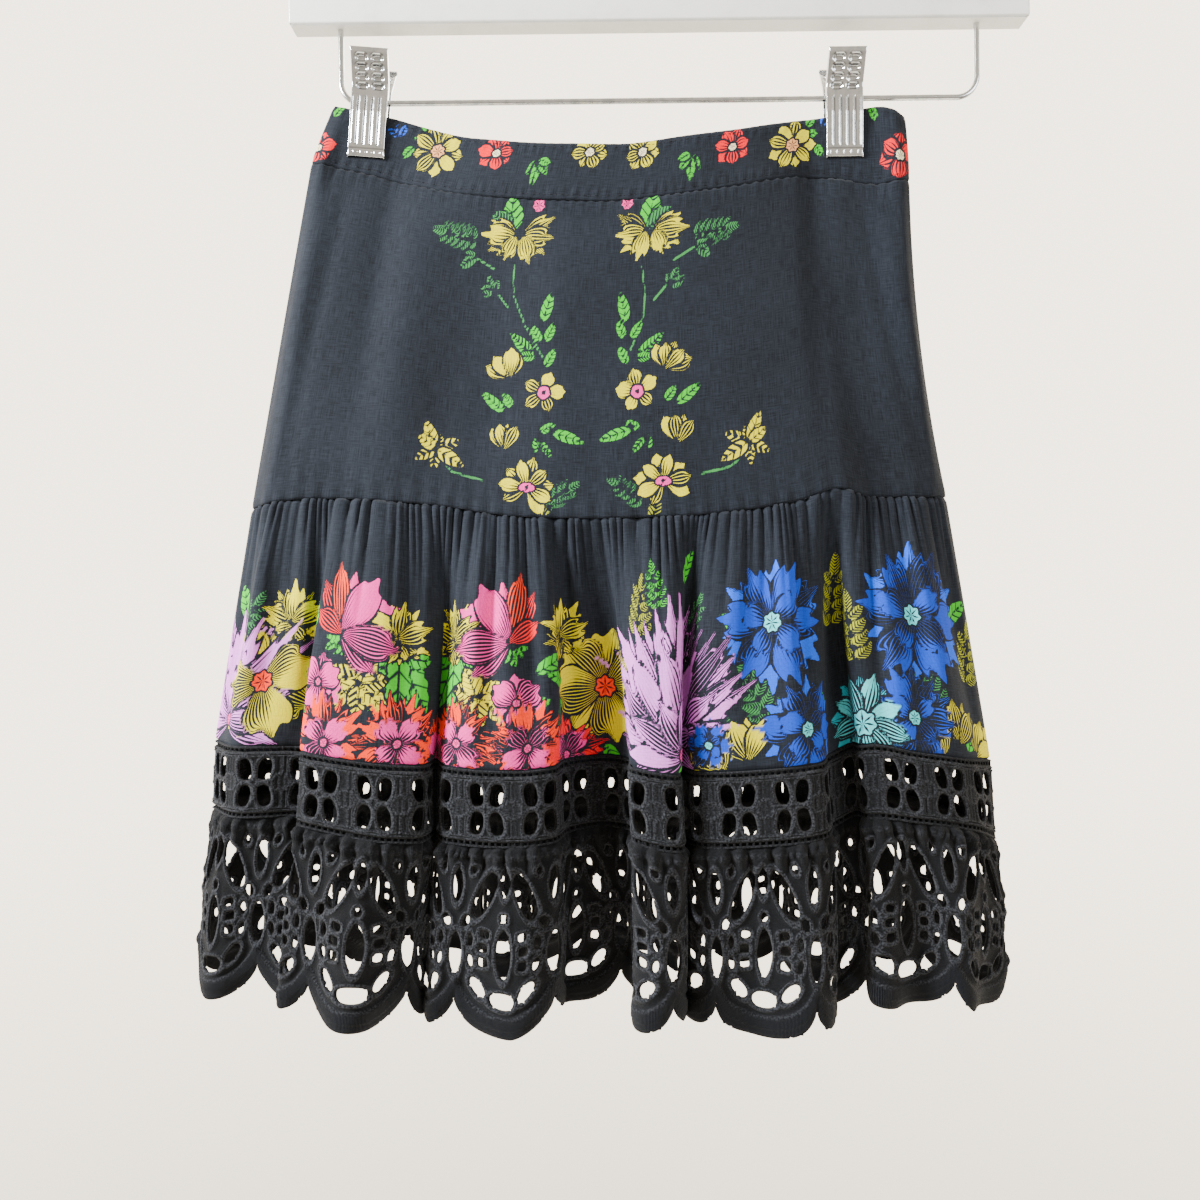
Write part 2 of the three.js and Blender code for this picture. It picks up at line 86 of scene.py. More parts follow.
DEPTHS = {
    "front": (
        (0, 0.15, 0.15, 0.15, 0.15),
        (0.02, 0.95, 3, 8, 9),
        (0.04, 0.95, 1.1, 12, 15),
        (0.13, 0.95, 1.1, 13, 18),
        (0.2, 3, 6, 16, 21),
        (0.3, 8, 11, 14, 22),
        (0.45, 12, 15, 21, 26),
        (0.6, 12, 15, 22, 27),
        (0.72, 8, 12, 20, 26),
        (0.8, 3, 6, 17, 24),
        (0.84, 0.95, 1.1, 13, 22),
        (0.89, 0.95, 1.1, 8, 13),
        (0.94, 0.95, 1.2, 9, 12),
        (0.98, 3, 4, 8, 8),
        (1, 0.15, 0.15, 0.15, 0.15),
    ),
    "back": (
        (0, 0.15, 0.15, 0.15, 0.15),
        (0.02, 0.95, 3, 7, 8),
        (0.04, 0.95, 1.1, 10, 13),
        (0.13, 0.95, 1.1, 11, 17),
        (0.22, 4, 7, 17, 23),
        (0.35, 9, 12, 20, 26),
        (0.5, 11, 14, 18, 25),
        (0.65, 10, 13, 21, 27),
        (0.78, 4, 7, 18, 24),
        (0.84, 0.95, 1.1, 12, 19),
        (0.94, 0.95, 1.2, 10, 14),
        (0.98, 3, 4, 7, 8),
        (1, 0.15, 0.15, 0.15, 0.15),
    ),
}
FOLDS = {
    "front": (
        (-207, 0.15), (-186, 22), (-152, 20), (-150, 34), (-91, 36), (-86, 18), (-78, 33), (-26, 34),
        (-18, 17), (12, 15), (15, 40), (36, 42), (40, 22), (47, 34), (107, 36), (117, 18),
        (129, 14), (133, 26), (184, 20), (207, 0.15),
    ),
    "back": (
        (-207, 0.15), (-188, 20), (-150, 28), (-143, 14), (-126, 16), (-120, 34), (-70, 38), (-62, 20),
        (-42, 18), (-36, 36), (18, 40), (26, 22), (40, 20), (47, 38), (98, 36), (106, 20),
        (128, 18), (134, 30), (184, 20), (207, 0.15),
    ),
}
FOLD_SPREAD = {"band_top": 1.0, "band_bottom": 1.04, "hem": 1.2}
WAVES = 11
WAVE_DEPTHS = (1.5, 6.5)
WAVE_EASE = 0.06
PIECE_SEAMS = {
    "waistband": ("waist_top", "waist_seam"),
    "upper": ("waist_seam", "tier_seam"),
    "tier": ("tier_seam", "band_top"),
    "lace_band": ("band_top", "band_bottom"),
    "lace_ruffle": ("band_bottom", "hem"),
}
CUTS = {
    "waistband": (322, 31),
    "upper": (384, 168),
    "tier": (552, 125),
    "lace_band": (552, 38),
    "lace_ruffle": (660, 92),
}
FLOWERS = 21
SCALLOPS = 12


def mix(a: float | Array, b: float | Array, t: float | Array) -> float | Array:
    """Return the value a share t of the way from a to b."""
    return a + (b - a) * t


def limit(values: Array) -> Array:
    """Return the values kept from 0 to 1."""
    return np.clip(values, 0, 1)


def bell(x: Array, centre: float, width: float) -> Array:
    """Return a smooth bump of height 1 at the centre that is about one width wide each way."""
    return np.exp(-(((x - centre) / width) ** 2))


def lookup(columns: Sequence[str], rows: Sequence[Sequence[float]], column: str, share: Array) -> Array:
    """Read one column of a table with a cubic that doesn't swing past its rows.

    Args:
        columns: The names of the columns.
        rows: The rows, each starting with its share of the width.
        column: The name of the column to read.
        share: Where to read it, from 0 to 1.

    Returns:
        The column's value at each share.
    """
    table = np.array(rows, float)
    x, y = table[:, 0], table[:, columns.index(column)]
    secant = np.diff(y) / np.diff(x)
    before, after = secant[:-1], secant[1:]
    same_way = before * after > 0
    inner = np.where(same_way, 2 * before * after / np.where(same_way, before + after, 1), 0)
    slope = np.concatenate([secant[:1], inner, secant[-1:]])
    k = np.clip(np.searchsorted(x, share, side="left") - 1, 0, len(x) - 2)
    step = x[k + 1] - x[k]
    t = (share - x[k]) / step
    rise, start, end = y[k + 1] - y[k], slope[k] * step, slope[k + 1] * step
    return y[k] + t * (start + t * (3 * rise - 2 * start - end + t * (start + end - 2 * rise)))


class FoldCurve:
    """Centripetal curve through the crests and valleys of the folds, measured along its length."""

    def __init__(self, rows: Sequence[Sequence[float]]) -> None:
        """Take the rows of a fold table, each across and out.

        Args:
            rows: The crests and valleys in order, each across and out.
        """
        points = np.array(rows, float)
        first, last = 2 * points[0] - points[1], 2 * points[-1] - points[-2]
        self.points = np.vstack([first, points, last])
        self.spans = len(points) - 1
        self.shares = np.linspace(0, 1, 201)
        steps = np.linalg.norm(np.diff(self.at(self.shares), axis=0), axis=1)
        self.lengths = np.concatenate([[0], np.cumsum(steps)])

    def at(self, t: Array) -> Array:
        """Return the curve's points at shares of its rows.

        Args:
            t: Shares of the curve's rows, from 0 to 1.

        Returns:
            The points, each across and out.
        """
        along = limit(t) * self.spans
        k = np.minimum(along.astype(int), self.spans - 1)
        w = (along - k)[:, None]
        p0, p1, p2, p3 = (self.points[k + j] for j in range(4))
        pairs = ((p0, p1), (p1, p2), (p2, p3))
        d0, d1, d2 = (np.sqrt(np.linalg.norm(b - a, axis=1))[:, None] for a, b in pairs)
        t1 = d1 * ((p1 - p0) / d0 - (p2 - p0) / (d0 + d1) + (p2 - p1) / d1)
        t2 = d1 * ((p2 - p1) / d1 - (p3 - p1) / (d1 + d2) + (p3 - p2) / d2)
        return p1 + w * (t1 + w * (3 * (p2 - p1) - 2 * t1 - t2 + w * (2 * (p1 - p2) + t1 + t2)))

    def measured(self, u: Array) -> Array:
        """Return the curve's points at shares of its length."""
        return self.at(np.interp(u * self.lengths[-1], self.lengths, self.shares))


FOLD_CURVES = {side: FoldCurve(rows) for side, rows in FOLDS.items()}


class Side(Enum):
    """The two sides of the skirt."""

    FRONT = "front"
    BACK = "back"

    @property
    def facing(self) -> int:
        """Return the way that the side faces along Y."""
        return -1 if self is Side.FRONT else 1


def plan(side: Side, section: str, u: Array) -> tuple[Array, Array]:
    """Return how far out a section's cloth stands at u, and at which share of the width.

    Args:
        side: Front or back.
        section: The seam's name.
        u: Shares across the cloth.

    Returns:
        How far out each place is, and its share of the width.
    """
    if section in FOLD_SPREAD:
        at = FOLD_CURVES[side.value].measured(u)
        first, last = FOLDS[side.value][0], FOLDS[side.value][-1]
        return mix(first[1], at[:, 1], FOLD_SPREAD[section]), (at[:, 0] - first[0]) / (last[0] - first[0])
    return lookup(DEPTH_COLUMNS, DEPTHS[side.value], section, u), u


def middle(piece: str, side: Side, u: Array, v: Array) -> Array:
    """Return the middle of a piece's wall.

    Args:
        piece: The piece's name.
        side: Front or back.
        u: Shares across the cloth, 0 at the left side seam.
        v: Shares down the piece, 0 at its upper seam.

    Returns:
        The points, in millimetres.
    """
    upper, lower = PIECE_SEAMS[piece]
    (out_top, share_top), (out_low, share_low) = plan(side, upper, u), plan(side, lower, u)
    slide = v * (2 - v) if piece == "tier" else v
    out = mix(out_top, out_low, slide)
    if piece == "upper":
        hip = lookup(DEPTH_COLUMNS, DEPTHS[side.value], "hip", u)
        out = out_top * (1 - v) * (1 - 2 * v) + 4 * hip * v * (1 - v) + out_low * v * (2 * v - 1)
    if piece == "lace_ruffle":
        ease = limit(np.minimum(u, 1 - u) / WAVE_EASE)
        out = out + mix(*WAVE_DEPTHS, v) * ease * np.sin(2 * np.pi * WAVES * u)
    swing = 4 * v * (1 - v)
    left_swing, right_swing = SIDE_SWING.get(piece, (0.0, 0.0))
    left = mix(SECTIONS[upper][0], SECTIONS[lower][0], v) + left_swing * swing
    right = mix(SECTIONS[upper][1], SECTIONS[lower][1], v) + right_swing * swing
    x = mix(left, right, mix(share_top, share_low, slide))
    top = lookup(HEIGHT_COLUMNS, HEIGHTS, upper, share_top)
    low = lookup(HEIGHT_COLUMNS, HEIGHTS, lower, share_low)
    return np.stack([SKIRT_X + x, side.facing * out, mix(top, low, v)], axis=1)


def unit(vectors: Array) -> Array:
    """Return the vectors at length 1."""
    return vectors / np.maximum(np.linalg.norm(vectors, axis=1, keepdims=True), 1e-9)


def wall_frame(piece: str, side: Side, u: Array, v: Array) -> tuple[Array, Array, Array, Array]:
    """Return the wall's middle, and its directions across, down and outward, at each u and v.

    Args:
        piece: The piece's name.
        side: Front or back.
        u: Shares across the cloth, 0 at the left side seam.
        v: Shares down the piece, 0 at its upper seam.

    Returns:
        The points in millimetres, and the three directions at each.
    """
    inner = limit(u)
    before, after = np.maximum(0, inner - SLOPE_STEP), np.minimum(1, inner + SLOPE_STEP)
    across = unit(middle(piece, side, after, v) - middle(piece, side, before, v))
    down = unit(middle(piece, side, inner, v + SLOPE_STEP) - middle(piece, side, inner, v - SLOPE_STEP))
    outward = unit(np.cross(down, across) if side is Side.FRONT else np.cross(across, down))
    ends = ((inner < SEAM_SHARE) | (inner > 1 - SEAM_SHARE))[:, None]
    seamward = np.stack([np.where(inner < 0.5, -1.0, 1.0), 0 * inner, 0 * inner], axis=1)
    outward = np.where(ends, unit(0.5 * outward + 0.5 * seamward), outward)
    return middle(piece, side, inner, v), across, down, outward


class Layer(Enum):
    """The print's inks from below to above, each over a black halo of its own."""

    LEAVES = 0
    PETALS = 1
    OVER = 2
    HEARTS = 3


class Ink(Enum):
    """The print's colours."""

    YELLOW = "DACD00"
    GOLD = "E69E00"
    PEACH = "EDA468"
    CREAM = "FFF0C2"
    RED = "F01420"
    ORANGE = "FF3A06"
    PINK = "EE3C98"
    ROSE = "F03C8C"
    LILAC = "DA80DC"
    GREEN = "3CB524"
    FERN = "3B8644"
    OLIVE = "A4A81C"
    BLUE = "1C5AE0"
    DEEP = "1A45BE"
    TEAL = "22A5B8"
    AQUA = "5CCFD8"

    @property
    def linear(self) -> tuple[float, float, float, float]:
        """Return the colour as linear light."""
        return linear(self.value)


def linear(code: str) -> tuple[float, float, float, float]:
    """Return a six-digit screen colour as linear light.

    Args:
        code: Two hexadecimal digits each of red, green and blue.

    Returns:
        The linear red, green, blue and an alpha of 1.
    """
    parts = [int(code[k:k + 2], 16) / 255 for k in (0, 2, 4)]
    red, green, blue = (c / 12.92 if c <= 0.04045 else ((c + 0.055) / 1.055) ** 2.4 for c in parts)
    return (red, green, blue, 1.0)


def write_field(mesh: Mesh, name: str, kind: str, values: Array) -> None:
    """Write a value for each of a mesh's points as an attribute.

    Args:
        mesh: The mesh.
        name: The attribute's name.
        kind: FLOAT, FLOAT_VECTOR or FLOAT_COLOR.
        values: A number or a row of numbers for each point.
    """
    key = {"FLOAT": "value", "FLOAT_VECTOR": "vector", "FLOAT_COLOR": "color"}[kind]
    attribute = mesh.attributes.new(name, kind, "POINT")
    attribute.data.foreach_set(key, values.astype(np.float32).ravel())


class InkFields:
    """The print of one piece: how far each point is inside a layer's shapes, its hatching and its ink.

    GAP is the black gap round a shape and FAR the greatest distance kept, in millimetres. SLANT is how much
    nearer a sloping edge is than it is straight across. HATCH is the width of petal to a line of hatching,
    and FEWEST_LINES the least that a petal has.
    """

    GAP = 1.15
    FAR = 4.0
    SLANT = 0.85
    HATCH = 3.7
    FEWEST_LINES = 1.6

    def __init__(self, x: Array, y: Array, seed: int) -> None:
        """Start with bare cloth at the flat points x and y.

        Args:
            x: Places across the cut.
            y: Places down the cut.
            seed: The seed of the flowers' small variations.
        """
        self.x, self.y = x, y
        self.rng = np.random.default_rng(seed)
        self.fields = [np.tile([self.FAR, 0.0, 0.0], (len(x), 1)) for _ in Layer]
        self.inks = [np.tile([0.0, 0.0, 0.0, 1.0], (len(x), 1)) for _ in Layer]

    def local(self, x: float, y: float, turn: float, reach: float) -> tuple[Array, Array, Array]:
        """Return the points within reach of a place, and how far along and beside a direction they are.

        Args:
            x: Where the shape starts, across.
            y: Where the shape starts, down.
            turn: Its direction in degrees, clockwise from straight up.
            reach: How far the shape may go, in millimetres.

        Returns:
            The points' numbers, and their places along and beside the direction.
        """
        near = np.flatnonzero((np.abs(self.x - x) < reach) & (np.abs(self.y - y) < reach))
        across, down = self.x[near] - x, self.y[near] - y
        sine, cosine = math.sin(math.radians(turn)), math.cos(math.radians(turn))
        return near, across * sine - down * cosine, across * cosine + down * sine

    def stamp(self, layer: Layer, near: Array, distance: Array, hatch: Array, cover: Array, ink: Ink) -> None:
        """Print one shape over what its layer holds, with a thin gap round it.

        Args:
            layer: The layer it goes on.
            near: The points' numbers.
            distance: The distance outside the shape's edge, less than 0 inside.
            hatch: The phase of its black lines, a line at each whole number.
            cover: The share of the ink that the lines cover.
            ink: Its colour.
        """
        level, inks = self.fields[layer.value], self.inks[layer.value]
        below = np.maximum(level[near, 0], self.GAP - distance)
        mine = distance < below
        level[near, 0] = np.clip(np.minimum(below, distance), -self.FAR, self.FAR)
        chosen = near[mine]
        level[chosen, 1], level[chosen, 2] = hatch[mine], cover[mine]
        inks[chosen] = ink.linear

    def petal(
        self, x: float, y: float, turn: float, length: float, width: float, ink: Ink, layer: Layer,
        full: float = 1.3, notch: float = 0.1, shade: float = 0.7,
    ) -> None:
        """Print one petal that starts at x and y, hatched from its base.

        Args:
            x: The place of its base, across.
            y: The place of its base, down.
            turn: Its direction, clockwise from straight up.
            length: Its length.
            width: Its greatest width.
            ink: Its colour.
            layer: Its layer.
            full: Over 1, widest towards the tip, and under 1 towards the base.
            notch: How deep its tip is notched.
            shade: How much of its base the hatching covers.
        """
        near, along, beside = self.local(x, y, turn, length * 1.1 + 2)
        ragged = 1 - notch * (0.5 - 0.5 * np.cos(2 * np.pi * beside / max(width / 2.4, 1.0)))
        q = along / (length * ragged)
        inside = np.clip(q, 0.001, 0.999)
        half = width / 2 * np.sin(np.pi * inside ** full) ** 0.7
        distance = np.maximum((np.abs(beside) - half) * self.SLANT, (np.abs(q - 0.5) - 0.5) * length)
        lines = max(self.FEWEST_LINES, width / self.HATCH)
        hatch = lines * beside / np.maximum(half, width / 5)
        streak = np.sin(12.9 * np.round(hatch) + 7.3 * x + turn) * 0.5 + 0.5
        deep = 0.75 + 0.65 * (math.sin(3.1 * turn + 5.7 * x) * 0.5 + 0.5)
        cover = shade * np.clip(1.25 - inside / (deep * (0.32 + 0.9 * streak ** 1.2)), 0, 0.72)
        cover = np.maximum(cover, 0.8 * limit((inside - 0.8) / 0.15) * (streak > 0.5))
        self.stamp(layer, near, distance, hatch, cover, ink)

    def leaf(
        self, x: float, y: float, turn: float, length: float, width: float, ink: Ink = Ink.GREEN,
        layer: Layer = Layer.LEAVES, teeth: float = 0.12, veins: int = 5, dark: float = 0.3,
        rib: float = 0.42,
    ) -> None:
        """Print one leaf from its stalk, veined, with a darker half and a toothed edge.

        Args:
            x: The place of its stalk, across.
            y: The place of its stalk, down.
            turn: Its direction, clockwise from straight up.
            length: Its length.
            width: Its greatest width.
            ink: Its colour.
            layer: Its layer.
            teeth: How deep the teeth of its edge are.
            veins: How many veins it has.
            dark: The share of its darker half that the veins cover.
            rib: Half the width of its bare midrib.
        """
        near, along, beside = self.local(x, y, turn, length * 1.1 + 2)
        q = np.clip(along / length, 0.001, 0.999)
        tooth = 1 - teeth * (1 - np.abs(2 * ((along / max(length / 5, 2.0)) % 1) - 1))
        half = width / 2 * np.sin(np.pi * q ** 0.8) ** 0.8 * tooth
        past = np.abs(along - length / 2) - length / 2
        distance = np.maximum((np.abs(beside) - half) * self.SLANT, past)
        distance = np.maximum(distance, rib - 0.9 * np.abs(beside))
        hatch = (along - 0.9 * np.abs(beside)) / max(1.5, length / veins)
        cover = np.where(beside > 0, dark, dark * 0.6) * (1.1 - 0.4 * np.abs(beside) / np.maximum(half, 0.5))
        self.stamp(layer, near, distance, hatch, cover, ink)

    def stem(self, points: Sequence[tuple[float, float]], ink: Ink = Ink.FERN, width: float = 1.4) -> None:
        """Print a thin stem through a few points.

        Args:
            points: The points it runs through.
            ink: Its colour.
            width: Its width.
        """
        for (x0, y0), (x1, y1) in zip(points[:-1], points[1:]):
            length = math.hypot(x1 - x0, y1 - y0)
            turn = math.degrees(math.atan2(x1 - x0, -(y1 - y0)))
            near, along, beside = self.local(x0, y0, turn, length + 3)
            distance = np.hypot(beside, np.maximum(np.abs(along - length / 2) - length / 2, 0)) - width / 2
            self.stamp(Layer.LEAVES, near, distance, 0 * distance + 0.5, 0 * distance, ink)

    def fern(
        self, x: float, y: float, turn: float, length: float, ink: Ink = Ink.FERN, pairs: int = 4,
    ) -> None:
        """Print a fern from its stalk: pairs of finely veined leaflets up to one at the tip.

        Args:
            x: Its place across.
            y: Its place down.
            turn: Its direction in degrees, clockwise from straight up.
            length: Its length.
            ink: Its colour.
            pairs: How many pairs of leaflets.
        """
        engraved = {"teeth": 0.05, "rib": 0.2, "veins": 9, "dark": 0.75}
        sine, cosine = math.sin(math.radians(turn)), math.cos(math.radians(turn))
        for k in range(pairs):
            share = 0.04 + 0.72 * k / pairs
            size = length * (0.36 - 0.14 * share)
            at = (x + share * length * sine, y - share * length * cosine)
            for way in (-1, 1):
                self.leaf(*at, turn + way * 52, size, size * 0.5, ink, **engraved)
        tip = (x + 0.66 * length * sine, y - 0.66 * length * cosine)
        self.leaf(*tip, turn, length * 0.36, length * 0.17, ink, **engraved)

    def ring(self, x: float, y: float, radius: float, squash: float, ink: Ink) -> None:
        """Print a flower's centre as a ring round a black middle.

        Args:
            x: Its place across.
            y: Its place down.
            radius: The flower centre's radius.
            squash: Its height as a share of its width.
            ink: Its colour.
        """
        near, along, beside = self.local(x, y, 0, radius * 1.5 + 3)
        angle = np.arctan2(beside, along)
        away = np.hypot(along / squash, beside) * (1 + 0.05 * np.cos(5 * angle))
        distance = np.abs(away - 0.68 * radius) - 0.3 * radius
        self.stamp(Layer.HEARTS, near, distance, 0 * distance + 0.5, 0 * distance, ink)

    def heart(self, x: float, y: float, radius: float, ink: Ink) -> None:
        """Print a flower's centre, a lobed disc.

        Args:
            x: Its place across.
            y: Its place down.
            radius: Its radius.
            ink: Its colour.
        """
        near, along, beside = self.local(x, y, 0, radius * 1.5 + 3)
        angle = np.arctan2(beside, along)
        distance = np.hypot(along, beside) - radius * (1 + 0.14 * np.cos(7 * angle))
        hatch = angle * 7 / (2 * np.pi)
        cover = np.clip(0.9 - np.hypot(along, beside) / max(radius, 0.5), 0, 0.45)
        self.stamp(Layer.HEARTS, near, distance, hatch, cover, ink)

    def bloom(
        self, x: float, y: float, radius: float, ink: Ink, heart: Ink, petals: int = 6, turn: float = 0,
        fan: float = 360, core: float = 0.2, wide: float = 1.0, notch: float = 0.14,
        other: Ink | None = None, full: float = 1.3, shade: float = 0.7,
    ) -> None:
        """Print a flower: petals round a centre, every other one on the layer above.

        Args:
            x: The centre, across.
            y: The centre, down.
            radius: The length of a petal.
            ink: The petals' colour.
            heart: The centre's colour.
            petals: How many petals.
            turn: The direction of the fan's middle.
            fan: The angle that the petals fill, 360 for an open flower.
            core: The centre's radius as a share of the flower's.
            wide: The petals' width as a share of the room that they have.
            notch: How deep the tips are notched.
            other: The colour of every other petal, if it isn't the same.
            full: Where a petal is widest, as for a petal.
            shade: How much of a petal's base is hatched.
        """
        step = fan / (petals if fan == 360 else max(1, petals - 1))
        start = turn - (fan / 2 if fan < 360 else 0)
        for odd in (0, 1):
            for k in range(odd, petals, 2):
                wobble = self.rng.uniform(-0.1, 0.1, 3)
                angle = start + step * (k + wobble[0])
                length = radius * (1 + wobble[1])
                room = 2 * length * math.sin(math.radians(min(step, 110) / 2)) * 1.12
                self.petal(
                    x, y, angle, length, room * wide * (1 + wobble[2]), other if odd and other else ink,
                    Layer.OVER if odd else Layer.PETALS, full, notch, shade,
                )
        if core > 0:
            self.heart(x, y, radius * core, heart)

    def tuft(
        self, x: float, y: float, turn: float, size: float, ink: Ink, leaves: int = 5, fan: float = 200,
    ) -> None:
        """Print a tuft of lobed leaves that fan out from one place.

        Args:
            x: Its place across.
            y: Its place down.
            turn: The direction of its middle.
            size: The length of a leaf.
            ink: Its colour.
            leaves: How many leaves.
            fan: The angle between the outer ones.
        """
        for k in range(leaves):
            angle = turn + fan * (k / max(1, leaves - 1) - 0.5)
            self.leaf(x, y, angle, size * (1 - 0.12 * (k % 2)), size * 0.5, ink, teeth=0.25, veins=4)

    def paint(self, mesh: Mesh) -> None:
        """Write the fields onto a mesh's points.

        Args:
            mesh: The piece's mesh.
        """
        for layer in Layer:
            write_field(mesh, f"ink_{layer.value}", "FLOAT_VECTOR", self.fields[layer.value])
            write_field(mesh, f"tint_{layer.value}", "FLOAT_COLOR", self.inks[layer.value])


def print_waistband(p: InkFields) -> None:
    """Print the waistband: a small garland either side of the middle.

    Args:
        p: The waistband's inks.
    """
    for x, y, turn in ((40, 8, -30), (277, 6, 30)):
        p.tuft(x, y, turn, 8, Ink.BLUE, 3, 90)
    for x, y, turn, length in (
        (56, 8, -75, 10), (49, 11, -150, 9), (264, 9, 75, 10), (271, 13, 150, 9), (54, 2, -40, 8),
        (266, 4, 40, 8),
    ):
        p.leaf(x, y, turn, length, 5)
    broad = {"core": 0.25, "wide": 0.66, "notch": 0.05, "full": 1.6, "shade": 0.9}
    for x, y in ((62.3, 10.5), (257.8, 13.5)):
        p.bloom(x, y, 13.5, Ink.YELLOW, Ink.PEACH, 9, 10, **broad)
    for x, y in ((94.3, 7.5), (223.7, 9.5)):
        p.bloom(x, y, 10, Ink.RED, Ink.CREAM, 7, 20, core=0.2, wide=0.66, notch=0.06, full=1.5)
    for x, y, way in ((118.7, 9, 1), (200.6, 10, -1)):
        for turn, length in ((-150, 12), (-175, 17), (150, 11), (118, 8)):
            p.leaf(x, y, way * turn, length, 4.6, teeth=0.05, dark=0.2)
    small = {"core": 0.24, "wide": 0.66, "notch": 0.06, "full": 1.6, "shade": 0.9}
    for x, y in ((145, 5), (174, 5.8)):
        p.bloom(x, y, 9.5, Ink.YELLOW, Ink.CREAM, 7, 0, **small)
    p.leaf(2.4, 6, 20, 9, 4.5)
    p.bloom(1, 23, 9, Ink.RED, Ink.CREAM, 6, 10, core=0.2, wide=0.72, notch=0.06)
    p.leaf(306, 6, -30, 10, 4.5)
    p.bloom(316.6, 20.2, 10, Ink.RED, Ink.CREAM, 6, 10, core=0.22, wide=0.72, notch=0.06)


UPPER_PLACES = {
    "round": ((128.7, 9.6), (220.3, 8.5)),
    "berry": ((147.3, 3.5), (202.4, 1.9)),
    "low_lobes": ((124.6, 25.6), (230.6, 23.5)),
    "high_lobes": ((148.9, 22.1), (205.9, 20.6)),
    "fern": ((112, 23.4), (244, 23.4)),
    "sprig": ((107.3, 36.1), (251.1, 31.9)),
    "dark": ((122, 46.7), (234.7, 43.5)),
    "stem": (((133, 27.6), (146.7, 68.3)), ((216.8, 29.1), (215.5, 66.8))),
    "lances": (
        ((158.9, 57.6), (161.7, 71.0), (153.1, 71.8), (162.7, 84.6)),
        ((203.7, 57.6), (202.7, 69.7), (212, 70.4), (204.3, 83.1)),
    ),
    "shade": ((146, 78.6), (220, 79.6)),
    "half": ((136.4, 89.2), (232.5, 85.6)),
    "open": ((160.1, 103.1), (213, 103.1)),
    "pair": (((131, 109.1), (139.6, 108.4)), ((242.1, 105.7), (231.9, 105.7))),
    "bud": ((138.7, 127), (236, 123.6)),
    "inner": (
        ((163, 121.8), (174.5, 126.5), (158.5, 130.5)),
        ((210.7, 120.5), (201.1, 125.2), (217.8, 128.5)),
    ),
    "star": ((102.5, 138.6), (273.8, 134.5)),
    "wide": ((153.4, 153), (226.4, 150)),
    "last": ((166, 160), (212, 158)),
    "olive": ((160.8, 162), (222.3, 160)),
}


def print_upper(p: InkFields) -> None:
    """Print the upper panel: two climbing sprays that mirror each other about the middle."""
    for k, way in enumerate((-1, 1)):
        spray(p, way, {name: places[k] for name, places in UPPER_PLACES.items()})


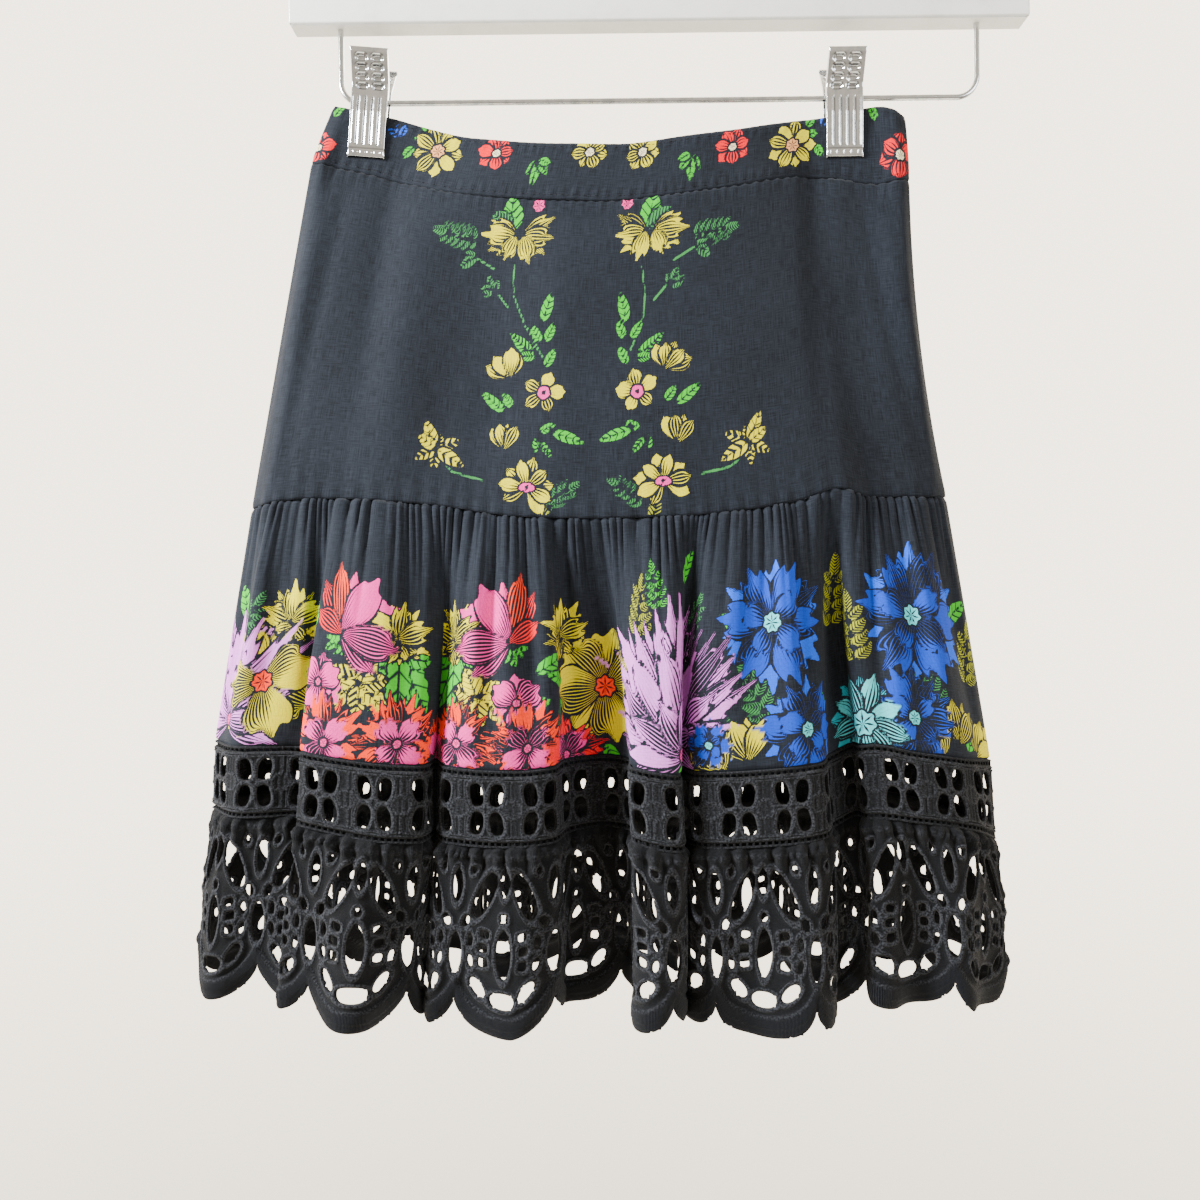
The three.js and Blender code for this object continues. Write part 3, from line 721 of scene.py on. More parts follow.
def spray(p: InkFields, way: int, at: dict[str, tuple]) -> None:
    """Print one climbing spray of the upper panel.

    Args:
        p: The panel's inks.
        way: −1 for the left spray and 1 for the right one.
        at: The places of its flowers and leaves.
    """
    def near(name: str, across: float = 0, down: float = 0) -> tuple[float, float]:
        """Return a place, or the first of a few, moved outward and down."""
        x, y = at[name][0] if isinstance(at[name][0], tuple) else at[name]
        return x + way * across, y + down

    def leaves(name: str, across: float, down: float, *rows: tuple, **look: object) -> None:
        """Print leaves from one place: each row is a direction, a length, a width and how dark it is."""
        for turn, length, width, dark in rows:
            p.leaf(*near(name, across, down), way * turn, length, width, dark=dark, **look)

    (x0, y0), (x1, y1) = at["stem"]
    lowest = (at["lances"][3][0] + way * 1.5, at["lances"][3][1] + 4)
    p.stem([(x0 - way * 3, y0 + 8), (mix(x0, x1, 0.35), mix(y0, y1, 0.6)), (x1, y1), lowest], Ink.FERN, 1.2)
    p.stem([near("sprig", -6, -2), near("dark", -2, -8)])
    p.stem([near("dark", -6, 5), near("dark", -13, 12)])
    p.stem([near("star", -3.5, 5), near("star", -10, 11), near("star", -27, 13)])
    leaves("round", -4, 8, (8, 19, 14, 0.3), teeth=0.14, veins=4)
    leaves("round", -4, 8, (56, 17, 11, 0.7), ink=Ink.FERN, veins=7)
    p.heart(*at["berry"], 3.4, Ink.ROSE)
    p.fern(*near("fern", 0, 1), way * 84, 30, pairs=6)
    shaded = {"ink": Ink.FERN, "veins": 6}
    leaves("sprig", -5, -4, (134, 13, 6.5, 0.6), (95, 9, 4.5, 0.6), **shaded)
    leaves("dark", -3, 5, (-20, 9, 4.5, 0.6), (22, 11, 5, 0.6), (66, 10, 5, 0.6), (100, 8, 4, 0.6), **shaded)
    low = ((64, 19, 9, 1.2), (118, 19, 12, 0.7), (90, 23, 12, 0.9), (156, 15, 9, 0.7))
    high = ((-60, 22, 10, 1.2), (-124, 18, 12, 0.7), (-92, 20, 11, 0.9), (-162, 17, 10, 0.7))
    for lobes, place in ((low, near("low_lobes", -10.5, -5)), (high, near("high_lobes", 9, -2))):
        for k, (turn, length, width, shade) in enumerate(lobes):
            layer = Layer.PETALS if k < 2 else Layer.OVER
            p.petal(*place, way * turn, length, width, Ink.YELLOW, layer, 1.05, 0.28, shade)
    for (x, y), turn, length in zip(at["lances"], (-16, -25, 33, -28), (18, 12.5, 12, 12.5)):
        sine, cosine = math.sin(math.radians(way * turn)), math.cos(math.radians(way * turn))
        stalk = (x - length / 2 * sine, y + length / 2 * cosine)
        p.leaf(*stalk, way * turn, length, 0.24 * length + 2.2, teeth=0.06, dark=0.3)
    leaves("shade", -8, 6, (52, 21, 7, 0.6), (84, 10, 5.5, 0.6), teeth=0.1, veins=8)
    petals = {"full": 1.6, "notch": 0.06, "shade": 1.0}
    p.bloom(*near("half", -4, 7), 15, Ink.YELLOW, Ink.GOLD, 5, way * 25, 92, core=0.0, wide=1.15, **petals)
    p.bloom(*at["open"], 11.5, Ink.YELLOW, Ink.PINK, 5, -12 * way, core=0.0, wide=0.5, **petals)
    p.ring(*at["open"], 3.5, 1.0, Ink.PINK)
    leaves("pair", -7.4, 5.2, (56, 18, 6, 0.25), teeth=0.05)
    p.leaf(at["pair"][1][0] - way * 3.6, at["pair"][1][1] + 3.5, way * 40, 11, 5, teeth=0.05)
    p.bloom(*near("bud", -1, 7.5), 15, Ink.YELLOW, Ink.GOLD, 4, way * 6, 62, core=0.0, wide=1.15, **petals)
    (ax, ay), (bx, by), (cx, cy) = at["inner"]
    p.leaf(ax + way * 4.3, ay + 2.5, -way * 60, 11, 4.6, teeth=0.05)
    p.leaf(bx + way * 9, by - 2.9, -way * 107, 20, 6, teeth=0.05)
    p.leaf(cx + way * 2, cy + 5, -way * 8, 10, 4, dark=0.6)
    p.leaf(cx - way * 1, cy - 2, -way * 142, 12, 4.2, dark=0.6)
    star = {"ink": Ink.YELLOW, "teeth": 0.06, "veins": 4, "rib": 0.4}
    dull = ((-64, 15, 6.5, 0.85), (180, 12, 5.5, 0.85), (120, 13, 6, 0.8), (-12, 9, 5, 0.85))
    bright = ((27, 17, 7, 0.25), (60, 12.5, 6, 0.25), (-115, 18, 7.5, 0.5))
    leaves("star", 0, 0, *dull, **star)
    leaves("star", 0, 0, *bright, layer=Layer.OVER, **star)
    p.fern(*near("last", 4, 2), -way * 58, 24, pairs=5)
    leaves("olive", -3, 10, (18, 15, 7, 0.8), ink=Ink.OLIVE, veins=7)
    p.bloom(*at["wide"], 15, Ink.YELLOW, Ink.PINK, 9, -15 * way, 265, core=0.0, wide=0.7, **petals)
    p.ring(*at["wide"], 4.4, 0.55, Ink.PINK)


def print_tier(p: InkFields) -> None:
    """Print the gathered tier: a border of large flowers that thins out upward.

    Args:
        p: The tier's inks.
    """
    bare = {"core": 0.0, "shade": 1.0}
    for x, y, turn, size, ink in (
        (306, 60, 8, 34, Ink.OLIVE), (321, 46, -14, 26, Ink.GREEN), (400, 104, -26, 38, Ink.FERN),
        (382, 112, -48, 30, Ink.FERN), (452, 66, 6, 36, Ink.OLIVE), (470, 84, -8, 36, Ink.OLIVE),
        (515, 108, -24, 34, Ink.FERN), (60, 72, -20, 30, Ink.OLIVE), (22, 70, 24, 26, Ink.FERN),
        (540, 90, 18, 34, Ink.OLIVE), (352, 62, 24, 26, Ink.FERN), (236, 120, 10, 30, Ink.FERN),
    ):
        p.fern(x, y, turn, size, ink)
    hanging = ((152, 33, 17), (208, 33, 17), (105, 19, 11), (255, 19, 11), (180, 36, 14))
    for x, y in ((127, 72), (176, 70)):
        for turn, length, width in hanging:
            p.leaf(x, y, turn, length, width, teeth=0.24, veins=4, dark=0.24, rib=0.55)
    for x, y, turn in (
        (250, 100, -30), (296, 112, 40), (340, 34, 30), (420, 92, 110), (390, 60, -60), (532, 60, 60),
        (527, 122, 35), (66, 112, 60), (14, 60, -20), (268, 118, 150), (330, 120, 170), (152, 124, 0),
        (203, 92, 160), (78, 64, -20), (112, 80, -60), (222, 78, 60), (62, 88, 75), (246, 84, -75),
    ):
        p.leaf(x, y, turn, 20, 8.5)
    for x, y, fan in ((50.6, 62, 0), (126, 66, 8), (174.5, 64, -8), (244.9, 60, 0)):
        p.bloom(x, y, 20, Ink.YELLOW, Ink.GOLD, 7, fan, 200, wide=0.85, notch=0.3, full=1.1, **bare)
        p.bloom(x, y + 2, 11, Ink.YELLOW, Ink.OLIVE, 6, 180 + fan, 150, wide=0.8, notch=0.2, **bare)
    for x, y, way in ((108.2, 88, -1), (191.1, 89.4, 1)):
        for k, length in enumerate((23, 19, 21, 17, 19, 14, 15)):
            turn = way * (20 + 52 * k)
            dark = 0.6 if k % 2 else 0.25
            p.leaf(x, y, turn, length, 11, Ink.YELLOW, Layer.PETALS, 0.22, 5, dark, 0.5)
    for x, y, way in ((95.8, 66, 1), (207.6, 63, -1)):
        for turn, length, width, ink in (
            (-32, 30, 10, Ink.RED), (-12, 36, 10, Ink.ORANGE), (8, 30, 12, Ink.ROSE), (34, 33, 17, Ink.PINK),
            (66, 34, 18, Ink.PINK), (100, 32, 16, Ink.PINK), (132, 26, 12, Ink.PINK), (-58, 20, 10, Ink.RED),
        ):
            layer = Layer.OVER if turn in (-12, 34, 100, -58) else Layer.PETALS
            p.petal(x, y, way * turn, length, width, ink, layer, 1.25, 0.1, 0.85)
        p.tuft(x, y + 2, way * 215, 11, Ink.GREEN, 4, 110)
    for x, y in ((85.6, 90), (211.3, 92)):
        p.bloom(x, y, 14, Ink.PINK, Ink.ROSE, 6, 0, core=0.12, wide=0.85, notch=0.15, shade=0.9)
        p.leaf(x + 8, y, 90, 10, 6)
    outer = {"core": 0.0, "wide": 0.8, "notch": 0.3, "full": 1.6, "shade": 1.3}
    inner = {"core": 0.14, "wide": 0.85, "notch": 0.2, "full": 1.5, "shade": 1.2}
    for x, y, ink in (
        (92.1, 117, Ink.ORANGE), (128, 114, Ink.ORANGE), (158, 121, Ink.ORANGE), (181, 112, Ink.ORANGE),
        (217, 113, Ink.ORANGE), (247, 121, Ink.RED),
    ):
        p.bloom(x, y, 23, ink, Ink.GOLD, 12, 20, **outer)
        p.bloom(x, y + 1, 14, Ink.PINK, Ink.ROSE, 8, 0, **inner)
    lilac = {"wide": 0.95, "notch": 0.2, "full": 1.1, "shade": 0.9}
    p.bloom(16, 112, 62, Ink.LILAC, Ink.PINK, 15, -4, 150, core=0.0, **lilac)
    p.bloom(16, 112, 36, Ink.LILAC, Ink.PINK, 13, 0, 220, core=0.08, **lilac)
    yellow = {"core": 0.16, "wide": 0.85, "notch": 0.14, "full": 1.5, "shade": 1.05}
    for x, y, size in ((38, 92, 30), (269.3, 88, 32)):
        p.bloom(x, y, size, Ink.YELLOW, Ink.ORANGE, 7, 12, **yellow)
    for size, petals, turn, fan, core, wide, notch, full, shade in (
        (74, 19, 2, 118, 0.0, 1.0, 0.14, 1.3, 1.25),
        (54, 17, 0, 170, 0.0, 0.95, 0.12, 1.3, 1.1),
        (32, 15, 5, 230, 0.1, 1.0, 0.12, 1.0, 1.0),
    ):
        look = {"core": core, "wide": wide, "notch": notch, "full": full, "shade": shade}
        p.bloom(332, 116, size, Ink.LILAC, Ink.PINK, petals, turn, fan, **look)
    for x, y, turn in ((387.2, 120, -10), (376, 124, -50), (521.6, 118, 8), (512, 124, -40), (536, 124, 40)):
        p.bloom(x, y, 21, Ink.YELLOW, Ink.GOLD, 4, turn, 70, wide=1.15, notch=0.1, **bare)
    outer = {"core": 0.0, "wide": 0.9, "notch": 0.2, "full": 1.6, "shade": 1.35}
    inner = {"core": 0.22, "wide": 0.8, "notch": 0.15, "full": 1.5, "shade": 1.3}
    for x, y, size in ((368.3, 112, 13), (403.3, 56, 33), (505, 58, 35), (418, 108, 25), (497, 108, 25)):
        p.bloom(x, y, size, Ink.BLUE, Ink.AQUA, 12, 5, other=Ink.DEEP, **outer)
        p.bloom(x, y, size * 0.6, Ink.BLUE, Ink.AQUA, 9, 14, other=Ink.DEEP, **inner)
    teal = {"core": 0.24, "wide": 0.95, "notch": 0.1, "shade": 0.9}
    p.bloom(470, 114, 24, Ink.TEAL, Ink.AQUA, 18, 0, other=Ink.AQUA, **teal)


PRINTS: dict[str, Callable[[InkFields], None]] = {
    "waistband": print_waistband, "upper": print_upper, "tier": print_tier,
}


class Nodes:
    """Builds the nodes of one tree."""

    def __init__(self, tree: bpy.types.NodeTree) -> None:
        """Take the tree."""
        self.tree = tree

    def node(self, kind: str, inputs: dict[str, object] | None = None, **values: object) -> bpy.types.Node:
        """Add a node, set its own values, and feed its inputs.

        Args:
            kind: The node's kind.
            inputs: What its inputs are fed, under their names.
            **values: Its own values.

        Returns:
            The node.
        """
        made = self.tree.nodes.new(kind)
        for name, value in values.items():
            setattr(made, name, value)
        for name, value in (inputs or {}).items():
            self.feed(made.inputs[name], value)
        return made

    def feed(self, socket: bpy.types.NodeSocket, value: object) -> None:
        """Link a socket to another one, or set its value.

        Args:
            socket: An input.
            value: A plain value, or the output to link.
        """
        if isinstance(value, bpy.types.NodeSocket):
            self.tree.links.new(value, socket)
        else:
            socket.default_value = value

    def math(self, operation: str, a: object, b: object = 0.0, clamp: bool = False) -> object:
        """Return a sum or comparison of values or sockets.

        Args:
            operation: What is done.
            a: The first value.
            b: The second value.
            clamp: Whether the result is kept from 0 to 1.

        Returns:
            The result's output.
        """
        made = self.node("ShaderNodeMath", operation=operation, use_clamp=clamp)
        for socket, value in zip(made.inputs, (a, b)):
            self.feed(socket, value)
        return made.outputs[0]

    def times(self, a: object, b: object, clamp: bool = False) -> object:
        """Return the product of two values or sockets."""
        return self.math("MULTIPLY", a, b, clamp)

    def plus(self, a: object, b: object) -> object:
        """Return the sum of two values or sockets."""
        return self.math("ADD", a, b)

    def less(self, a: object, b: object) -> object:
        """Return one value or socket less another."""
        return self.math("SUBTRACT", a, b)

    def ramp(
        self, value: object, low: float, high: float, to_low: float = 0.0, to_high: float = 1.0,
    ) -> object:
        """Return a value smoothly mapped from one range to another."""
        limits = {"From Min": low, "From Max": high, "To Min": to_low, "To Max": to_high, "Value": value}
        return self.node("ShaderNodeMapRange", limits, interpolation_type="SMOOTHSTEP", clamp=True).outputs[0]

    def mix(self, factor: object, a: object, b: object, blend: str = "MIX") -> object:
        """Return two colours mixed."""
        colours = {"Factor": factor, "A": a, "B": b}
        return self.node("ShaderNodeMix", colours, data_type="RGBA", blend_type=blend).outputs["Result"]

    def split(self, vector: object) -> object:
        """Return the three parts of a vector."""
        return self.node("ShaderNodeSeparateXYZ", {"Vector": vector}).outputs


class Shader(Nodes):
    """Builds one material."""

    def __init__(self, name: str) -> None:
        """Start a material with a principled surface, under its name.

        Args:
            name: The material's name.
        """
        self.material = bpy.data.materials.new(name)
        self.material.use_nodes = True
        super().__init__(self.material.node_tree)
        self.surface = self.tree.nodes["Principled BSDF"]

    def place(self, scale: Point, uv: str = "") -> object:
        """Return a place on the piece, times a scale, from a UV map or from the object's own coordinates.

        Args:
            scale: What the place is multiplied by.
            uv: The UV map's name, if it isn't the object's own.

        Returns:
            The place's output.
        """
        if uv:
            source = self.node("ShaderNodeUVMap", uv_map=uv).outputs["UV"]
        else:
            source = self.node("ShaderNodeTexCoord").outputs["Object"]
        return self.node("ShaderNodeMapping", {"Scale": scale, "Vector": source}).outputs["Vector"]

    def noise(self, where: object, scale: float = 1.0, detail: float = 2.0, roughness: float = 0.5) -> object:
        """Return noise at a place, about 0.5 in the middle."""
        look = {"Vector": where, "Scale": scale, "Detail": detail, "Roughness": roughness}
        return self.node("ShaderNodeTexNoise", look).outputs["Fac"]

    def field(self, name: str) -> bpy.types.Node:
        """Return the node that reads one of the mesh's attributes."""
        return self.node("ShaderNodeAttribute", attribute_type="GEOMETRY", attribute_name=name)

    def bump(self, height: object, strength: float, distance: float) -> None:
        """Roughen the surface with a height."""
        made = self.node("ShaderNodeBump", {"Strength": strength, "Distance": distance, "Height": height})
        self.feed(self.surface.inputs["Normal"], made.outputs["Normal"])

    def set(self, **values: object) -> None:
        """Set or link the surface's own sockets, named with underscores for spaces."""
        for name, value in values.items():
            self.feed(self.surface.inputs[name.replace("_", " ")], value)


FLAT_UV = "flat"
THREAD = 1 / MM


@dataclass(frozen=True)
class PrintedCotton:
    """Black slubby cotton with a printed pattern whose inks are on the mesh; its slubs and broad patches are
    paler, partly their own tone and partly painted sheen.
    """

    cloth: str = "090B0F"
    # Paler colour of the slubs: partly their own tone, partly painted sheen.
    slub_tone_and_sheen: str = "272C35"
    roughness: float = 0.86
    ragged: float = 0.9
    warp: tuple[float, float] = (2.6, 0.10)
    weft: tuple[float, float] = (0.13, 2.9)
    edge_softness: float = 0.16
    line_softness: float = 0.06
    halo: tuple[float, float] = (1.25, 0.95)

    def threads(self, shader: Shader, slubs: tuple[float, float]) -> object:
        """Return the unevenness of the threads that run one way, as noise stretched along them."""
        stretched = shader.place((slubs[0] * THREAD, slubs[1] * THREAD, 1), FLAT_UV)
        return shader.noise(stretched, detail=3, roughness=0.6)

    def make(self) -> Material:
        """Return the printed cotton.

        Returns:
            The material.
        """
        shader = Shader("printed_cotton")
        fine = shader.place((THREAD, THREAD, 1), FLAT_UV)
        weave = shader.plus(self.threads(shader, self.warp), self.threads(shader, self.weft))
        threads = shader.times(weave, 0.5)
        broad = shader.noise(fine, 0.018, 3)
        tone = shader.plus(shader.ramp(threads, 0.36, 0.64), shader.times(broad, 0.5))
        # The slubs and broad patches take the paler colour: partly the threads' own tone, partly painted
        # sheen.
        dark = shader.mix(shader.times(tone, 0.7, clamp=True), linear(self.cloth), linear(self.slub_tone_and_sheen))
        edge = shader.noise(fine, 0.9, 3, 0.65)
        wander = shader.times(shader.less(edge, 0.5), self.ragged)
        dry = shader.ramp(threads, 0.38, 0.52, 0.80, 1.0)
        # Uneven ink: each ink a little lighter or darker at random.
        wear_and_highlight = shader.ramp(edge, 0.3, 0.7, 0.92, 1.08)
        colour = dark
        for layer in Layer:
            tint = shader.field(f"tint_{layer.value}").outputs["Color"]
            away, phase, cover = shader.split(shader.field(f"ink_{layer.value}").outputs["Vector"])
            away = shader.plus(away, wander)
            inside = shader.ramp(away, self.edge_softness, -self.edge_softness)
            step = shader.math("FRACT", shader.plus(phase, 0.5))
            near_line = shader.math("ABSOLUTE", shader.less(step, 0.5))
            half_line = shader.times(shader.plus(cover, shader.times(wander, 0.22)), 0.5)
            bare = shader.ramp(shader.less(half_line, near_line), self.line_softness, -self.line_softness)
            colour = shader.mix(shader.ramp(away, *self.halo), colour, dark)
            strength = shader.times(shader.times(inside, bare), dry)
            colour = shader.mix(strength, colour, shader.mix(1.0, tint, wear_and_highlight, "MULTIPLY"))
        shader.set(Base_Color=colour, Roughness=self.roughness, Sheen_Weight=0.03, Sheen_Roughness=0.45)
        shader.set(Specular_IOR_Level=0.12)
        shader.bump(threads, 0.55, 0.0004)
        return shader.material


@dataclass(frozen=True)
class BlackLace:
    """Black cotton embroidery; its raised cords are paler, partly worn thread and partly painted highlight.
    """

    ground: str = "08090C"
    # Paler colour of the raised cords: partly worn thread, partly painted highlight.
    cord: str = "3E4046"
    satin: str = "0A0D14"
    roughness: float = 0.82

    def make(self) -> Material:
        """Return the lace.

        Returns:
            The material.
        """
        shader = Shader("black_lace")
        gap, satin, along = shader.split(shader.field("thread").outputs["Vector"])
        lines = shader.split(shader.field("cord").outputs["Vector"])[0]
        rim = shader.times(shader.ramp(gap, 0.1, 0.5), shader.ramp(gap, 1.7, 1.2))
        cord = shader.math("MAXIMUM", rim, lines)
        fine = shader.place((THREAD, THREAD, 1), FLAT_UV)
        fuzz = shader.noise(fine, 2.2, 4, 0.7)
        twist = shader.noise(fine, 1.1, 2)
        stitch = shader.math("SINE", shader.plus(shader.times(along, 11.0), shader.times(fuzz, 3.0)))
        # Painted highlight on the raised cords, partly worn thread: the paler cord colour where the twist
        # noise allows, and a trace of it on the ground.
        wear_and_highlight = shader.times(shader.times(cord, shader.ramp(twist, 0.35, 0.7)), 0.85)
        colour = shader.mix(shader.ramp(twist, 0.35, 0.7, 0.0, 0.08), linear(self.ground), linear(self.cord))
        colour = shader.mix(wear_and_highlight, colour, linear(self.cord))
        colour = shader.mix(satin, colour, linear(self.satin))
        shader.set(Base_Color=colour, Roughness=self.roughness, Sheen_Weight=0.04, Sheen_Roughness=0.5)
        shader.set(Specular_IOR_Level=0.12)
        rows = shader.times(stitch, shader.plus(shader.times(satin, 0.5), 0.12))
        rough = shader.plus(fuzz, shader.times(twist, 0.5))
        raised = shader.plus(shader.times(cord, 1.6), shader.plus(rows, rough))
        shader.bump(raised, 0.95, 0.0006)
        return shader.material


@dataclass(frozen=True)
class Thread:
    """Dull black sewing thread."""

    colour: str = "1E2024"
    deep: str = "101114"

    def make(self) -> Material:
        """Return the thread.

        Returns:
            The material.
        """
        shader = Shader("sewing_thread")
        twist = shader.noise(shader.place((1500, 1500, 1500)), 1.0, 2)
        colour = shader.mix(twist, linear(self.colour), linear(self.deep))
        shader.set(Base_Color=colour, Roughness=0.7, Specular_IOR_Level=0.2)
        shader.bump(twist, 0.5, 0.0002)
        return shader.material


@dataclass(frozen=True)
class Chrome:
    """Bright plated steel with faint scuffs, and painted shade along the clips' stamped grooves."""

    colour: str = "D9DBDD"
    scuffed: str = "B9BDC1"
    shadow: str = "2B2D30"
    roughness: float = 0.12

    def make(self) -> Material:
        """Return the plated steel.

        Returns:
            The material.
        """
        shader = Shader("chrome")
        scuff = shader.noise(shader.place((60, 60, 60)), 3.0, 5, 0.6)
        fine = shader.noise(shader.place((900, 900, 900)), 1.0, 3)
        colour = shader.mix(shader.ramp(scuff, 0.4, 0.7), linear(self.colour), linear(self.scuffed))
        # Painted shade in the clips' stamped grooves.
        colour = shader.mix(shader.field("groove_shade").outputs["Fac"], colour, linear(self.shadow))
        shader.set(Base_Color=colour, Metallic=1.0)
        shader.set(Roughness=shader.ramp(scuff, 0.35, 0.75, self.roughness, self.roughness + 0.14))
        shader.bump(fine, 0.06, 0.0002)
        return shader.material


@dataclass(frozen=True)
class WhitePaint:
    """Satin white paint, a little greyer in spots."""

    colour: str = "F1F1EE"
    grey: str = "D8D7D2"

    def make(self) -> Material:
        """Return the paint.

        Returns:
            The material.
        """
        shader = Shader("white_paint")
        grain = shader.noise(shader.place((40, 260, 260)), 1.0, 4, 0.6)
        spots = shader.noise(shader.place((25, 25, 25)), 2.0, 4, 0.7)
        colour = shader.mix(shader.ramp(spots, 0.45, 0.8, 0.0, 0.6), linear(self.colour), linear(self.grey))
        shader.set(Base_Color=colour, Roughness=shader.ramp(grain, 0.3, 0.7, 0.34, 0.48), Coat_Weight=0.2)
        shader.bump(grain, 0.12, 0.0004)
        return shader.material


def to_mesh(work: bmesh.types.BMesh, name: str) -> Mesh:
    """Return a new mesh, smooth all over, of what was modelled.

    Args:
        work: What was modelled, freed here.
        name: The mesh's name.

    Returns:
        The mesh.
    """
    mesh = bpy.data.meshes.new(name)
    work.to_mesh(mesh)
    work.free()
    mesh.polygons.foreach_set("use_smooth", np.ones(len(mesh.polygons), bool))
    return mesh


def grid_mesh(name: str, across: int, down: int, flip: bool) -> tuple[Mesh, Array]:
    """Return a flat grid, one unit wide and high round its middle, and its points.

    Args:
        name: The mesh's name.
        across: How many cells it has across.
        down: How many cells down.
        flip: Whether its faces point the other way.

    Returns:
        The mesh and its points.
    """
    work = bmesh.new()
    bmesh.ops.create_grid(work, x_segments=across, y_segments=down, size=0.5)
    if flip:
        bmesh.ops.reverse_faces(work, faces=work.faces)
    mesh = to_mesh(work, name)
    places = np.empty(len(mesh.vertices) * 3, np.float32)
    mesh.vertices.foreach_get("co", places)
    return mesh, places.reshape(-1, 3)


def move_points(mesh: Mesh, points: Array) -> None:
    """Put a mesh's points at places given in millimetres."""
    mesh.vertices.foreach_set("co", (points * MM).astype(np.float32).ravel())


@dataclass(frozen=True)
class Wall:
    """The thickness that a sheet is given, and to which side of it: −1 inside, 0 both, 1 outside."""

    thick: float
    offset: float = 0.0


def add_piece(
    name: str, data: bpy.types.ID, material: Material, slot: str, node: str = "", wall: Wall | None = None,
) -> Piece:
    """Put a mesh or a curve into the scene as one piece of the part.

    Args:
        name: The piece's name.
        data: Its mesh or curve.
        material: Its finish.
        slot: The slot of its material.
        node: The solid that it replaces, if it replaces one.
        wall: Its thickness, if it is a sheet.

    Returns:
        The piece.
    """
    data.materials.append(material)
    piece = bpy.data.objects.new(name, data)
    bpy.context.scene.collection.objects.link(piece)
    if wall:
        solid = piece.modifiers.new("wall", "SOLIDIFY")
        solid.thickness, solid.offset = wall.thick * MM, wall.offset
    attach(piece, ROOT)
    if node:
        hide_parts(node)
    LOG.info("made %s in %s", piece.name, slot)
    return piece


@dataclass
class ClothPiece:
    """One cut piece of cloth, a fine flat grid that is bent onto the hanging shape.

    Attributes:
        piece: The piece's name, as in the solids.
        side: Front or back.
        width: The width that it was cut to.
        height: The height that it was cut to.
        pitch: The size of a cell of its grid.
        wall: How thick it is.
        held: How it hangs, as a word such as hung or gathered; not used.
        rests_on: What holds it.
        above: The allowance that it has above its upper seam.
        below: The allowance that it has below its lower seam.
    """

    piece: str
    side: Side
    width: float
    height: float
    pitch: float
    wall: float
    held: str = "hung"
    rests_on: tuple[str, ...] = ()
    above: float = 0.0
    below: float = 0.0
    slot: str = "printed_cotton"
    across: int = field(init=False, default=0)
    down: int = field(init=False, default=0)

    def __post_init__(self) -> None:
        """Count the grid's cells."""
        self.across = max(8, round(self.width / self.pitch))
        self.down = max(4, round((self.height + self.above + self.below) / self.pitch))

    @property
    def name(self) -> str:
        """Return the name of the piece and of its solid."""
        return f"{self.piece}_{self.side.value}"

    def columns(self) -> Array:
        """Return the flat places of the grid's columns."""
        return np.linspace(0, self.width, self.across + 1)

    def rows(self) -> Array:
        """Return the flat places of the grid's rows."""
        return np.linspace(-self.above, self.height + self.below, self.down + 1)

    def flat_mesh(self) -> tuple[Mesh, Array, Array]:
        """Return the flat grid, and each point's place across and down the cut.

        Returns:
            The mesh, and its points' flat places.
        """
        mesh, places = grid_mesh(self.name, self.across, self.down, self.side is Side.BACK)
        column = np.rint((places[:, 0] + 0.5) * self.across).astype(int)
        row = np.rint((0.5 - places[:, 1]) * self.down).astype(int)
        return mesh, self.columns()[column], self.rows()[row]

    def relief(self, x: Array, y: Array) -> Array:
        """Return how far the cloth stands out from its plain hanging shape."""
        return 0 * x

    def dress(self, mesh: Mesh, x: Array, y: Array) -> None:
        """Write what the finish reads onto the mesh."""

    def bend(self, mesh: Mesh, x: Array, y: Array) -> None:
        """Put the mesh's points on the hanging shape, and keep the flat cut as its UV map.

        Args:
            mesh: The piece's mesh.
            x: Places across the cut.
            y: Places down the cut.
        """
        centre, _, _, outward = wall_frame(self.piece, self.side, x / self.width, y / self.height)
        move_points(mesh, centre + outward * self.relief(x, y)[:, None])
        corners = np.empty(len(mesh.loops), np.int32)
        mesh.loops.foreach_get("vertex_index", corners)
        flat = np.stack([x, -y], axis=1)[corners] * MM
        mesh.uv_layers.new(name=FLAT_UV).data.foreach_set("uv", flat.astype(np.float32).ravel())

    def cut(self, mesh: Mesh, x: Array, y: Array) -> tuple[Mesh, Array, Array]:
        """Cut the holes of the flat piece, if it has any."""
        return mesh, x, y

    def area(self) -> float | None:
        """Return the flat area in square metres, where it isn't the whole rectangle."""
        return None

    def build(self, material: Material) -> Piece:
        """Args:
            material: Its finish.

        Returns:
            The piece.
        """
        mesh, x, y = self.flat_mesh()
        mesh, x, y = self.cut(mesh, x, y)
        self.dress(mesh, x, y)
        self.bend(mesh, x, y)
        piece = add_piece(f"cloth_{self.name}", mesh, material, self.slot, self.name, Wall(self.wall))
        list(self.rests_on)
        self.area()
        return piece


@dataclass
class PrintedPiece(ClothPiece):
    """A piece of the printed cotton, left bare on the last of its height, which its lower seam takes in."""

    bare_hem: float = 0.4

    def dress(self, mesh: Mesh, x: Array, y: Array) -> None:
        """Paint the piece's print onto its points.

        Args:
            mesh: The piece's mesh.
            x: Places across the cut.
            y: Places down the cut.
        """
        inks = InkFields(x, y, seed=len(self.piece))
        PRINTS[self.piece](inks)
        for layer in inks.fields:
            layer[y > self.height - self.bare_hem, 0] = InkFields.FAR
        inks.paint(mesh)


